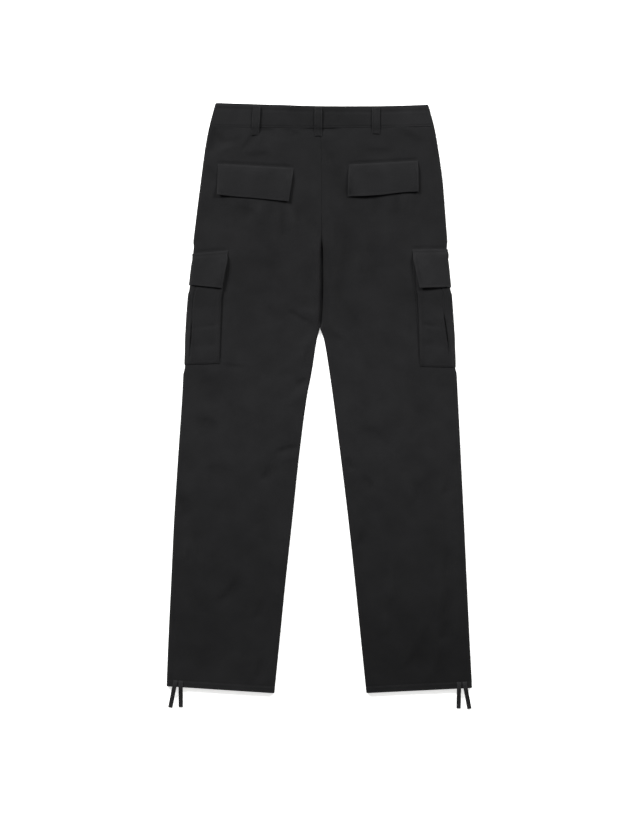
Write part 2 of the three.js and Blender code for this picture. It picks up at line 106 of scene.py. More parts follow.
def makeCamera():
    data = bpy.data.cameras.new("camera")
    data.sensor_width = view["sensor"]
    data.lens = view["sensor"] * view["distance"] / view["frameHeight"]
    data.clip_end = 100
    camera = bpy.data.objects.new("camera", data)
    camera.location = (*view["centre"], view["distance"] + view["clothHeight"])
    bpy.context.scene.collection.objects.link(camera)
    bpy.context.scene.camera = camera


makeCamera()

studio = {
    "keySide": 3.0,  # two soft boxes stand past the waist, to the left and to the right
    "keyAhead": 3.2,
    "keyHeight": 2.5,
    "keySize": 1.3,
    "keyPower": {"left": 430, "right": 300},
    "topHeight": 3.6,
    "topAhead": 0.6,
    "topSize": 2.4,
    "topPower": 22,
    "world": 0.1,
    "floorSize": 30,
    "floorColour": "#f7f7f6",
    "floorGlow": 0.65,
}


def linear(colour):  # "#rrggbb" in sRGB to linear light
    s = np.array([int(colour[i:i + 2], 16) for i in (1, 3, 5)]) / 255
    return (*np.where(s <= 0.04045, s / 12.92, ((s + 0.055) / 1.055) ** 2.4).tolist(), 1.0)


def addNode(material, kind, links=None, values=None, shades=(), **settings):
    node = material.node_tree.nodes.new("ShaderNode" + kind)
    for name, value in settings.items():
        setattr(node, name, value)
    for name, value in (values or {}).items():
        node.inputs[name].default_value = value
    for name, source in (links or {}).items():
        material.node_tree.links.new(source, node.inputs[name])
    for k, (place, colour) in enumerate(shades):
        node.color_ramp.elements[k].position = place
        node.color_ramp.elements[k].color = linear(colour)
    return node.outputs


def newMaterial(name):
    material = bpy.data.materials.new(name)
    material.use_nodes = True
    material.node_tree.nodes.clear()
    return material, partial(addNode, material)


def softBox(name, place, target, size, power):
    data = bpy.data.lights.new(name, "AREA")
    data.shape, data.size, data.energy = "SQUARE", size, power
    light = bpy.data.objects.new(name, data)
    light.location = place
    light.rotation_mode = "QUATERNION"
    away = [t - p for t, p in zip(target, place)]
    light.rotation_quaternion = Vector(away).to_track_quat("-Z", "Y")
    bpy.context.scene.collection.objects.link(light)


def makeStudio():
    scene = bpy.context.scene
    scene.view_settings.view_transform = "Standard"
    world = bpy.data.worlds.new("studio")
    world.use_nodes = True
    world.node_tree.nodes["Background"].inputs["Color"].default_value = (1, 1, 1, 1)
    world.node_tree.nodes["Background"].inputs["Strength"].default_value = studio["world"]
    scene.world = world
    for name, side in (("left", -1), ("right", 1)):
        place = (side * studio["keySide"], studio["keyAhead"], studio["keyHeight"])
        softBox("key_" + name, place, (0, -0.1, 0), studio["keySize"], studio["keyPower"][name])
    place = (0, studio["topAhead"], studio["topHeight"])
    softBox("top", place, (0, 0, 0), studio["topSize"], studio["topPower"])
    # Opal acrylic, lit from below as on a light table, so that shadows stay pale
    board, add = newMaterial("opal acrylic")
    white = linear(studio["floorColour"])
    shader = add("BsdfPrincipled", values={
        "Base Color": white, "Roughness": 0.9,
        "Emission Color": white, "Emission Strength": studio["floorGlow"]})
    add("OutputMaterial", {"Surface": shader["BSDF"]})
    mesh = bpy.data.meshes.new("floor")
    half = studio["floorSize"] / 2
    corners = [(-half, -half, 0), (half, -half, 0), (half, half, 0), (-half, half, 0)]
    mesh.from_pydata(corners, [], [(0, 1, 2, 3)])
    mesh.materials.append(board)
    floor = bpy.data.objects.new("floor", mesh)
    floor.location.z = -0.0003
    scene.collection.objects.link(floor)


makeStudio()
print("studio set")


# Materials

twill = {
    "dark": "#161617",
    "light": "#1a1a1b",
    # lighter colour of rubbed edges, and of a painted highlight beside the cargo pockets' side folds
    "wornAndHighlit": "#232324",
    "wearAndHighlightShare": 0.35,
    "rib": 0.9,  # mm from one diagonal rib of the weave to the next
    "yarn": 0.45,
    "nap": 1.1,
    "patch": 42,
}


def waveScale(pitch):  # a wave texture has its bands at 2 pi / 20 of a unit over its scale
    return 2 * math.pi / 20 / (pitch / 1000)


def makeTwill():
    # Piece-dyed cotton twill, pressed: matt, with fine diagonal ribs, a short nap that lightens it
    # at a slant, faint cloudy patches from the dye, a tone per point that is darker towards the
    # hems, painted shade in the troughs of the back's creases and painted highlight on their ridges,
    # folded edges rubbed a shade lighter, and a painted highlight beside the cargo pockets' side
    # folds.
    material, add = newMaterial("charcoal cotton twill")
    cloth = add("UVMap", uv_map="cloth")["UV"]
    turned = add("Mapping", {"Vector": cloth}, {"Rotation": (0, 0, math.radians(52))})["Vector"]
    ribs = add("TexWave", {"Vector": turned}, {
        "Scale": waveScale(twill["rib"]), "Distortion": 1.2, "Detail": 2, "Detail Scale": 1.5})["Fac"]
    yarns = add("TexWave", {"Vector": cloth}, {
        "Scale": waveScale(twill["yarn"]), "Distortion": 1.5, "Detail": 2, "Detail Scale": 2})["Fac"]
    nap = add("TexNoise", {"Vector": cloth}, {
        "Scale": 1000 / twill["nap"], "Detail": 4, "Roughness": 0.65})["Fac"]
    patches = add("TexNoise", {"Vector": cloth}, {"Scale": 1000 / twill["patch"], "Detail": 3})["Fac"]
    shades = ((0.32, twill["dark"]), (0.68, twill["light"]))
    dyed = add("ValToRGB", {"Fac": patches}, shades=shades)["Color"]
    furrow = add("MapRange", {"Value": ribs}, {"To Min": 0.82, "To Max": 1.06})["Result"]
    fibre = add("MapRange", {"Value": nap}, {"To Min": 0.86, "To Max": 1.16})["Result"]
    depth = add("Math", {0: furrow, 1: fibre}, operation="MULTIPLY")["Value"]
    woven = add("VectorMath", {0: dyed, "Scale": depth}, operation="SCALE")["Vector"]
    # Tone per point, darker towards the hems, with painted shade in crease troughs and painted
    # highlight on crease ridges.
    toneAndPaintedFoldShade = add("Attribute", attribute_name="toneAndPaintedFoldShade")["Fac"]
    tonedWithFoldShade = add("VectorMath", {0: woven, "Scale": toneAndPaintedFoldShade}, operation="SCALE")["Vector"]
    # Rubbed edges, and a painted highlight beside the cargo pockets' side folds, turn towards the
    # lighter colour.
    wearAndHighlight = add("Attribute", attribute_name="wearAndHighlight")["Fac"]
    rubbedAndHighlit = add("Math", {0: wearAndHighlight}, {1: twill["wearAndHighlightShare"]}, operation="MULTIPLY")["Value"]
    wornAndHighlit = linear(twill["wornAndHighlit"])
    colour = add("MixRGB", {"Fac": rubbedAndHighlit, "Color1": tonedWithFoldShade}, {"Color2": wornAndHighlit})["Color"]
    height = add("Math", {0: ribs, 1: yarns}, operation="ADD")["Value"]
    fuzzy = add("Math", {0: height, 1: nap}, operation="ADD")["Value"]
    raised = add("Bump", {"Height": fuzzy}, {"Strength": 0.5, "Distance": 0.00012})["Normal"]
    shader = add("BsdfPrincipled", {"Base Color": colour, "Normal": raised}, {
        "Roughness": 0.9, "IOR": 1.45, "Specular IOR Level": 0.12,
        "Sheen Weight": 0.03, "Sheen Roughness": 0.5})
    add("OutputMaterial", {"Surface": shader["BSDF"]})
    return material


def makeTape():
    # Woven cotton tape in black: a herringbone that turns back and forth across its width.
    material, add = newMaterial("woven cotton tape")
    cloth = add("UVMap", uv_map="cloth")["UV"]
    parts = add("SeparateXYZ", {"Vector": cloth})
    folded = add("Math", {0: parts["X"]}, {1: 0.0019}, operation="PINGPONG")["Value"]
    slanted = add("Math", {0: folded, 1: parts["Y"]}, operation="ADD")["Value"]
    along = add("CombineXYZ", {"X": slanted})["Vector"]
    ribs = add("TexWave", {"Vector": along}, {"Scale": waveScale(0.8), "Distortion": 0.4})["Fac"]
    shade = add("ValToRGB", {"Fac": ribs}, shades=((0, "#141415"), (1, "#262627")))["Color"]
    raised = add("Bump", {"Height": ribs}, {"Strength": 0.7, "Distance": 0.00015})["Normal"]
    shader = add("BsdfPrincipled", {"Base Color": shade, "Normal": raised},
                 {"Roughness": 0.9, "Specular IOR Level": 0.12})
    add("OutputMaterial", {"Surface": shader["BSDF"]})
    return material


def makeThread():
    # Spun polyester sewing thread: two plies twisted, matt, dyed to the cloth.
    material, add = newMaterial("spun polyester thread")
    place = add("TexCoord")["Object"]
    plies = add("TexNoise", {"Vector": place}, {"Scale": 2200, "Detail": 1})["Fac"]
    shade = add("ValToRGB", {"Fac": plies}, shades=((0, "#101011"), (1, "#181819")))["Color"]
    values = {"Roughness": 0.8, "Specular IOR Level": 0.15}
    shader = add("BsdfPrincipled", {"Base Color": shade}, values)
    add("OutputMaterial", {"Surface": shader["BSDF"]})
    return material


def makeResin():
    # Cast polyester resin, tumbled: black with faint brown clouds and a satin gloss, as horn has.
    material, add = newMaterial("cast resin, horn look")
    place = add("TexCoord")["Object"]
    clouds = add("TexNoise", {"Vector": place}, {"Scale": 180, "Detail": 3, "Distortion": 1.5})["Fac"]
    shade = add("ValToRGB", {"Fac": clouds}, shades=((0, "#0b0a0a"), (1, "#241e1a")))["Color"]
    shader = add("BsdfPrincipled", {"Base Color": shade}, {"Roughness": 0.38, "IOR": 1.54})
    add("OutputMaterial", {"Surface": shader["BSDF"]})
    return material


twillCloth, cottonTape = makeTwill(), makeTape()
sewingThread, hornResin = makeThread(), makeResin()
print("materials ready")


# Meshes from arrays


def makePiece(name, points, faces, material, uv=None, marks=None, node=None):
    mesh = bpy.data.meshes.new(name)
    corners = np.concatenate([f.ravel() for f in faces]).astype(np.int32)
    sizes = np.concatenate([np.full(len(f), f.shape[1]) for f in faces])
    starts = np.concatenate([[0], np.cumsum(sizes)[:-1]]).astype(np.int32)
    mesh.vertices.add(len(points))
    mesh.vertices.foreach_set("co", (points / 1000).astype(np.float32).ravel())
    mesh.loops.add(len(corners))
    mesh.loops.foreach_set("vertex_index", corners)
    mesh.polygons.add(len(starts))
    mesh.polygons.foreach_set("loop_start", starts)
    mesh.polygons.foreach_set("use_smooth", np.ones(len(starts), bool))
    mesh.update(calc_edges=True)
    if uv is not None:
        layer = mesh.uv_layers.new(name="cloth")
        layer.data.foreach_set("uv", (uv[corners] / 1000).astype(np.float32).ravel())
    for mark, values in (marks or {}).items():
        layer = mesh.attributes.new(mark, "FLOAT", "POINT")
        layer.data.foreach_set("value", values.astype(np.float32))
    mesh.materials.append(material)
    piece = bpy.data.objects.new(name, mesh)
    bpy.context.scene.collection.objects.link(piece)
    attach(piece, "root")
    if node:
        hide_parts(node)
    return piece


def unit(vectors):
    return vectors / np.maximum(np.linalg.norm(vectors, axis=-1, keepdims=True), 1e-9)


def upright(z, up=1):  # the way out where cloth lies level: straight up, or down for -1
    return np.stack([0 * z, 0 * z, up + 0 * z], -1)


def ringFaces(rows, cols):
    # Four-sided faces between closed rings of points, and one face over each end.
    index = np.arange(rows * cols).reshape(rows, cols)
    nextTo = np.roll(index, -1, axis=1)
    sides = np.stack([index[:-1], nextTo[:-1], nextTo[1:], index[1:]], -1).reshape(-1, 4)
    return [sides, np.stack([index[0][::-1], index[-1]])]


def shell(outer, out, thickness, uv, wearAndHighlight):
    # A wall under a grid of outer points: the same grid moved in along its normals, and between
    # the two edges half a circle of three more rings, so that each edge is as round as cloth.
    rows, cols = outer.shape[:2]
    thickness = np.broadcast_to(thickness, (rows, cols))
    normal = unit(np.cross(np.gradient(outer, axis=1), np.gradient(outer, axis=0)))
    turned = (normal * out).sum() < 0
    normal = -normal if turned else normal
    inner = outer - normal * thickness[..., None]
    index = np.arange(rows * cols).reshape(rows, cols)
    quads = np.stack([index[:-1, :-1], index[:-1, 1:], index[1:, 1:], index[1:, :-1]], -1)
    quads = quads.reshape(-1, 4)
    away = np.zeros_like(outer)
    away[0] += unit(outer[0] - outer[1])
    away[-1] += unit(outer[-1] - outer[-2])
    away[:, 0] += unit(outer[:, 0] - outer[:, 1])
    away[:, -1] += unit(outer[:, -1] - outer[:, -2])
    edge = np.concatenate([index[0, :-1], index[:-1, -1], index[-1, :0:-1], index[:0:-1, 0]])
    flat = lambda a: a.reshape(rows * cols, -1)[edge]
    half = thickness.ravel()[edge, None] / 2
    middle = flat(outer) - flat(normal) * half
    angles = np.radians([45, 90, 135])
    up, side = flat(normal) * half, flat(away) * half
    rings = [middle + up * math.cos(a) + side * math.sin(a) for a in angles]
    count, length = rows * cols, len(edge)
    loops = [edge, *(2 * count + k * length + np.arange(length) for k in range(3)), count + edge]
    strips = [np.stack([np.roll(a, -1), a, b, np.roll(b, -1)], -1)
              for a, b in zip(loops[:-1], loops[1:])]
    faces = np.concatenate([quads, (quads + count)[:, ::-1], *strips])
    faces = faces[:, ::-1] if turned else faces
    points = np.concatenate([outer.reshape(-1, 3), inner.reshape(-1, 3), *rings])
    spread = lambda a: np.concatenate([a, a, a[edge], a[edge], a[edge]])
    wearAndHighlight = np.broadcast_to(wearAndHighlight, (rows, cols)).ravel()
    return points, faces, spread(uv.reshape(-1, 2)), spread(wearAndHighlight)


def wayOnCloth(points, start=(0.0, 0.0)):
    # How far each point of a grid is across and along the cloth, measured on its surface.
    across = np.linalg.norm(np.diff(points, axis=1), axis=-1).cumsum(axis=1)
    along = np.linalg.norm(np.diff(points, axis=0), axis=-1).cumsum(axis=0)
    u = np.pad(across, ((0, 0), (1, 0))) + start[0]
    v = start[1] - np.pad(along, ((1, 0), (0, 0)))
    return np.stack([u, np.broadcast_to(v.mean(axis=1, keepdims=True), u.shape)], -1)


# Tone by height and place, with painted shade in crease troughs and painted highlight on their
# ridges.
toneByHeightAndFold = {
    "y": [543, 500, 440, 300, 230, 100, -40, -200, -380, -543],
    "kept": [0.94, 0.89, 0.87, 0.83, 0.84, 1.0, 1.02, 0.91, 0.79, 0.86],  # times the cloth's tone at each height
    "rightHem": -0.24,
    "rightBand": 0.2,
    "middleBand": -0.22,
    "fold": 0.1,  # painted highlight on a crease for each mm that it stands up, and painted shade in a trough
}


def toneAndPaintedFoldShadeAt(x, y, folds=()):
    # The cloth's tone by height, darker at the right hem than at the left one, lighter at the band's
    # right end and darker at its middle, with painted highlight on the creases' tops and painted
    # shade in their troughs.
    kept = smoothLine(y, toneByHeightAndFold["y"], toneByHeightAndFold["kept"])
    kept = kept + toneByHeightAndFold["rightHem"] * ease(ramp(y, -330, -500)) * ease(ramp(x, -60, 120))
    onBand = toneByHeightAndFold["rightBand"] * ease(ramp(x, 40, 200)) + toneByHeightAndFold["middleBand"] * bump(x, 0, 110)
    kept = kept + onBand * ease(ramp(y, 492, 500))
    # painted shade in the crease troughs and painted highlight on their ridges
    return kept * (1 + toneByHeightAndFold["fold"] * np.clip(creasesAt(x, y, folds), -2, 1.5))


def cloth(node, surface, a, b, thickness, flat, area, restsOn, wearAndHighlight=0.0, start=(0.0, 0.0),
          tone=1.0, folds=()):
    # A piece of cloth from its surface function, worked out at the grid of a and b. Its size and
    # area when flat, in mm, and the pieces that it lies on are taken but not used.
    outer, out = surface(a, b)
    points, faces, uv, wearAndHighlight = shell(outer, out, thickness, wayOnCloth(outer, start), wearAndHighlight)
    # The tone attribute carries painted shade in the troughs of the given creases and painted
    # highlight on their ridges.
    marks = {"wearAndHighlight": wearAndHighlight, "toneAndPaintedFoldShade": tone * toneAndPaintedFoldShadeAt(points[:, 0], points[:, 1], folds)}
    piece = makePiece(node + "_cloth", points, [faces], twillCloth, uv, marks, node)
    flat = (flat[0] / 1000, flat[1] / 1000)


def spaced(start, end, step, dense):
    # Places from start to end: near both ends close together, then about a step apart.
    near = np.array([0, 1, 2.2, 3.6, 5.4, 7.6]) * dense / 10
    count = max(2, int(round((end - start - 2 * dense) / step)) + 1)
    middle = np.linspace(start + dense, end - dense, count)
    return np.concatenate([start + near, middle, (end - near)[::-1]])


# Legs: the same tables as the solids

outline = {
    "sideY": [542.7, 499, 457, 402, 328, 255, 181, 107, -3, -113, -224, -334, -445, -525, -543],
    "left": [-191.5, -203, -210.7, -218, -227.4, -235.7, -242, -247.3, -253, -260.5, -267.5,
             -272.7, -278, -281, -281],
    "right": [200.2, 212, 219.4, 227.1, 233.1, 238.6, 244.2, 249.7, 255.6, 261.1, 266.6, 271.6,
              276.9, 281, 281],
    "inseamY": [128, 107, 52, -3, -113, -224, -334, -445, -543],
    "inseamLeft": [1.1, -4.6, -13.2, -23.6, -37.7, -49.5, -61.6, -72.7, -82.6],
    "inseamRight": [1.5, 8.8, 18, 25.8, 39.9, 53.4, 65.3, 76.5, 86.6],
    "centreY": [500, 340, 250, 180, 128],
    "centreX": [3.4, 4.4, 4.6, 4, 1.3],
    "waistX": [-192, -90, 0, 110, 201],
    "waistTop": [542.7, 539.4, 536.6, 536.6, 539.2],
    "waistSeam": [499.6, 498, 497.2, 498.4, 500.2],
    "hemAtSide": {-1: -530, 1: -533},
    "hemAtInseam": -542.7,
    "pileY": [45, 55, 190, 200, 256, 264, 277, 289],
    "pile": [0, 2.3, 2.3, 4.5, 4.5, 2.2, 2.2, 0],
    "seatFlaps": {  # upper outer corner, upper inner, lower inner, lower outer
        -1: ((-186.9, 431.8), (-46.6, 423.7), (-56.3, 362.0), (-188.6, 374.3)),
        1: ((182.2, 437.4), (54.2, 430.2), (52.4, 370.0), (182.9, 380.4)),
    },
    "cargoFlaps": {  # widths at the top and below, then the ys at the fold and at the end, twice
        -1: (66, 59, 266.5, 272, 208.2, 202.1),
        1: (66, 55, 275, 274.2, 204.3, 202.7),
    },
}

legs = {
    "cloth": 0.9,
    "hemCloth": 2.0,
    "loft": 5.6,
    "foldRadius": 2.8,
    "crotchY": 128,
    "centreGap": 0.04,
    "frontShift": 0.8,  # the seam of the two fronts lies beside that of the backs
    "hemMiddle": -536.4,
    "casing": 12.5,
    "casingRise": 0.5,
    "waistCentre": 3.4,
    "hump": 0.9,
    "valleyFloor": 1.3,  # height of the seat seam where the cloth falls in beside it
    "valleyWidth": 5.6,
    "valleyLip": {-1: 1.6, 1: 5.6},  # the left leg stands over the seam, the right one slopes into it
    "flapGroove": 1.6,  # depth of the seat's dent above a flap's sewn edge
    "puff": 2.0,
    "flat": (286, 1036),  # of each of the four panels
    "flatArea": 236000,
    "rowStep": 2.8,
    "columnStep": 2.6,
}


def sideName(side):
    return "left" if side < 0 else "right"


def waistSeamY(x):
    return smoothLine(x, outline["waistX"], outline["waistSeam"])


def waistTopY(x):
    return smoothLine(x, outline["waistX"], outline["waistTop"])


def hemY(side, x):
    return mix(outline["hemAtInseam"], outline["hemAtSide"][side], ramp(np.abs(x), 84, 281))


def halfAt(side, y):
    # The leg's inner edge, side fold, what lies on its side and its width, at a height.
    name = sideName(side)
    pile = np.interp(y, outline["pileY"], outline["pile"])
    outer = smoothLine(y, outline["sideY"], outline[name]) - side * pile
    seat = smoothLine(y, outline["centreY"], outline["centreX"]) + side * legs["centreGap"] / 2
    inseam = smoothLine(y, outline["inseamY"], outline["inseam" + name.title()])
    inner = np.where(y > legs["crotchY"], seat, inseam)
    return inner, outer, pile, np.abs(outer - inner)


def raisedBy(onSide, fraction, y):
    # The leg lies on the front part of the pocket and of its flap, and the band on a belt loop.
    pocket = 2.3 * ease(ramp(y, 15, 56)) + 2.2 * ease(ramp(y, 165, 200))
    pocket = pocket - 2.5 * ease(ramp(y, 256, 292)) - 2.0 * ease(ramp(y, 280, 330))
    overPocket = onSide * pocket * ease(ramp(fraction, 0.45, 0.72))
    nearLoop = np.minimum(ramp(fraction, 0.06, 0.255), ramp(fraction, 0.54, 0.345))
    overLoop = 1.9 * ease(nearLoop) * ease(ramp(y, 410, 480))
    return np.maximum(overPocket, overLoop)


# Creases of the back: from one end to the other, how wide, how deep (a ridge is below 0), and how
# far the middle bows to the left of its way.
creaseColumns = ("x0", "y0", "x1", "y1", "width", "depth", "bow")
backCreases = [
    (-196, 494, -201, 452, 10, 1.9, 4),  # left hip, down from the waist seam
    (-192, 490, -168, 466, 8, 0.8, -2),
    (-119, 492, -142, 456, 7, 1.6, 3),
    (-107, 488, -113, 468, 5, -0.9, 1),
    (-190, 450, -158, 466, 9, -1.2, 2),
    (-146, 478, -182, 474, 6, 0.9, 3),
    (-206, 425, -190, 398, 8, 1.0, 2),
    (-140, 446, -92, 450, 9, 1.4, -2),  # over the left flap
    (-108, 500, -80, 478, 8, 0.8, 2),
    (-62, 500, -40, 484, 7, 1.0, -2),
    (10, 476, 22, 434, 10, 1.5, -3),  # the long fold to the right of the seat seam
    (18, 436, 46, 366, 15, 1.6, 4),
    (44, 380, 58, 322, 14, 1.6, 3),
    (50, 322, 46, 230, 13, 1.8, 4),
    (48, 248, 34, 120, 12, 1.5, -4),
    (9, 300, 9, 96, 4.5, 2.0, 0),  # beside the seat seam
    (24, 340, 20, 236, 9, -1.1, 2),
    (84, 454, 138, 450, 9, 1.3, 2),  # over the right flap
    (150, 494, 196, 470, 8, 0.9, -3),
    (206, 480, 214, 430, 8, 1.2, 2),
    (-156, 348, -118, 336, 10, 1.3, 3),  # under the left flap
    (-135, 364, -137, 326, 6, 1.1, 1),
    (-108, 352, -106, 326, 8, -1.2, -1),
    (-92, 362, -88, 330, 7, 0.9, 2),
    (-69, 356, -66, 288, 8, 1.6, 2),
    (-54, 352, -50, 314, 9, -1.2, 2),
    (-40, 356, -34, 300, 8, 1.0, -2),
    (104, 372, 100, 330, 7, 0.9, 2),  # under the right flap
    (128, 368, 126, 276, 8, -0.9, 1),
    (142, 372, 143, 332, 5, 0.8, 1),
    (158, 374, 156, 340, 6, -0.8, -1),
    (176, 376, 178, 346, 6, 0.8, 1),
    (92, 282, 104, 222, 8, 1.2, 2),
    (68, 262, 76, 206, 9, -0.8, -2),
    (-162, 250, -82, 232, 16, 0.9, 8),  # left thigh
    (-150, 206, -92, 190, 14, 0.8, -6),
    (-88, 262, -66, 196, 10, 1.2, -4),
    (-40, 262, -34, 190, 11, -0.9, 2),
    (-54, 160, -40, 152, 4, 1.1, 1),  # towards the crotch
    (-44, 153, -26, 143, 4, 1.1, 1),
    (-32, 146, -12, 133, 6, 1.3, 2),
    (-30, 162, -10, 152, 5, -0.9, 1),
    (-104, 176, -70, 142, 11, 0.9, -3),
    (54, 170, 78, 128, 9, 1.0, -3),
    (14, 132, 44, 104, 8, 1.1, -3),
    (12, 128, 30, 70, 8, 0.9, 2),
    (-12, 118, -36, 66, 9, -1.2, -2),
    (-22, 35, -42, 22, 6, 1.4, -2),  # left leg, down its length
    (-54, 54, -74, 40, 8, 0.9, 2),
    (-28, 10, -60, -8, 10, -1.0, 2),
    (-38, -89, -82, -102, 5, 1.4, -3),
    (-36, -108, -74, -116, 9, -0.9, -3),
    (-92, -124, -102, -150, 8, 1.5, 2),
    (-178, 62, -130, 55, 5, 0.9, 0),
    (-214, 40, -206, -8, 20, 1.3, 6),
    (-218, -40, -188, -56, 10, 1.3, 3),
    (-216, -130, -160, -136, 10, 0.8, 3),
    (-108, -20, -150, -66, 18, 0.8, 8),
    (-258, -180, -250, -222, 8, 1.4, 3),
    (-244, -262, -252, -300, 8, -1.2, 2),
    (-231, -244, -220, -300, 7, 1.3, 2),
    (-216, -262, -210, -330, 10, -0.7, -3),
    (-146, -324, -190, -378, 10, 1.6, 6),
    (-232, -352, -204, -396, 9, 1.1, -7),
    (-108, -376, -118, -406, 9, 1.2, 3),
    (-222, -404, -208, -500, 24, 1.6, 6),
    (-240, -436, -206, -506, 12, 1.0, -4),
    (-110, -482, -118, -520, 9, 1.3, 3),
    (-60, -200, -66, -330, 14, -0.8, 6),
    (80, -56, 126, -82, 12, 1.5, 3),  # right leg, down its length
    (128, -92, 136, -118, 10, -1.0, 2),
    (52, -110, 62, -130, 7, 1.2, -2),
    (82, -146, 98, -168, 8, 1.3, 2),
    (108, -90, 124, -160, 12, -0.7, 4),
    (168, -150, 180, -192, 7, 1.0, 5),
    (238, -146, 228, -180, 8, 1.1, 2),
    (254, -216, 257, -366, 8, -1.0, 1),
    (236, -280, 232, -326, 8, 1.2, 2),
    (80, -246, 72, -272, 8, 1.3, 2),
    (64, -210, 100, -250, 13, 0.6, 4),
    (134, -306, 132, -384, 7, -1.0, 1),
    (124, -396, 122, -432, 9, -1.2, 1),
    (236, -350, 230, -406, 10, 1.5, 2),
    (232, -412, 226, -446, 10, 1.6, 2),
    (230, -462, 222, -518, 10, 1.5, -2),
    (206, -430, 190, -506, 17, 1.3, -5),
    (196, -398, 180, -440, 12, -0.9, 3),
    (180, -462, 156, -500, 10, 1.2, 4),
    (250, -380, 252, -440, 9, -0.9, 1),
    (150, -380, 168, -470, 18, 0.9, -6),
    (222, -130, 172, -170, 15, 0.8, 5),
    (120, -220, 132, -310, 18, 0.7, 8),
    (178, 30, 186, -60, 18, 0.8, 6),
    (-190, 30, -184, -50, 18, 0.8, -6),
    (96, 120, 120, 40, 20, 0.7, 5),
    (-96, 130, -116, 40, 20, 0.7, -5),
]

# Creases of the front, which lies on the floor: they only rise from it.
frontCreases = [
    (-150, 470, -120, 400, 12, 0.7, 4),
    (60, 460, 100, 380, 14, 0.7, -4),
    (-60, 330, -30, 200, 12, 0.8, 5),
    (40, 300, 60, 190, 12, 0.8, -5),
    (-44, 165, -14, 136, 7, 0.9, 2),  # towards the crotch
    (22, 138, 54, 106, 8, 0.9, -3),
    (-200, 0, -120, -20, 10, 0.7, 5),
    (90, 20, 150, -10, 12, 0.8, 4),
    (-60, -70, -120, -90, 9, 0.9, -4),
    (-210, -180, -150, -205, 12, 0.7, 5),
    (180, -160, 220, -230, 12, 0.8, -5),
    (74, -260, 124, -290, 10, 0.8, 3),
    (-130, -330, -190, -380, 12, 0.8, 6),
    (110, -420, 96, -490, 12, 0.6, -4),
    (-150, -420, -130, -500, 14, 0.6, 5),
]

crease = {
    "towardsLight": (-0.35, 1),
    "steep": 0.75,  # times the width on the wall in shade, and on the other one
    "gentle": 1.4,
}


def creasesAt(x, y, rows):
    # Each crease is a bell across its line, fading out towards both ends. Cloth falls over to one
    # side, so a crease is steeper on the wall that faces away from the waist.
    z = np.zeros(np.broadcast(x, y).shape)
    for row in rows:
        c = dict(zip(creaseColumns, row))
        dx, dy = c["x1"] - c["x0"], c["y1"] - c["y0"]
        length = math.hypot(dx, dy)
        t = ((x - c["x0"]) * dx + (y - c["y0"]) * dy) / length ** 2
        off = ((y - c["y0"]) * dx - (x - c["x0"]) * dy) / length - c["bow"] * 4 * t * (1 - t)
        lit = (dx * crease["towardsLight"][1] - dy * crease["towardsLight"][0]) * c["depth"]
        width = c["width"] * np.where(off * lit > 0, crease["steep"], crease["gentle"])
        tip = c["width"] / length
        fade = ease(ramp(t, -tip, 0.35)) * ease(ramp(t, 1 + tip, 0.65))
        z -= c["depth"] * fade * bump(off, 0, width)
    return z


def reliefAt(side, x, y, fromSide, fromInner):
    z = creasesAt(x, y, backCreases)
    z += 0.35 * cloudy(x, y, 75, 3) + 0.16 * cloudy(x, y, 34, 4) + 0.06 * cloudy(x, y, 13, 5)
    underBand = waistSeamY(x) - y
    z += 1.0 * wobble(x, 15, 6) * np.exp(-underBand / 14) * ramp(underBand, 0, 4)
    (farX, farY), (nearX, nearY) = outline["seatFlaps"][side][:2]
    share = (x - farX) / (nearX - farX)
    aboveFlap = y - mix(farY, nearY, share)
    overFlap = ease(ramp(share, -0.03, 0.08)) * ease(ramp(share, 1.03, 0.92))
    z -= legs["flapGroove"] * bump(aboveFlap, 1.4, 2.6) * overFlap
    wide, _, atFold, atEnd = outline["cargoFlaps"][side][:4]
    aboveCargo = y - mix(atFold, atEnd, ramp(fromSide, 0, wide))
    z -= 0.8 * legs["flapGroove"] * bump(aboveCargo, 1.4, 2.6) * ease(ramp(fromSide, wide, wide - 8))
    beside = ramp(y, 345, 270) * ramp(y, 122, 150)
    z += legs["puff"] * beside * bump(fromInner, 7, 6) * (1 + 0.35 * wobble(y, 24, 7))
    aboveCasing = y - hemY(side, x) - legs["casing"]
    z += 0.3 * wobble(x, 12, 8) * bump(aboveCasing, 2, 9)
    return z * ramp(fromSide, 0, 9) * ramp(underBand, -2, 4)


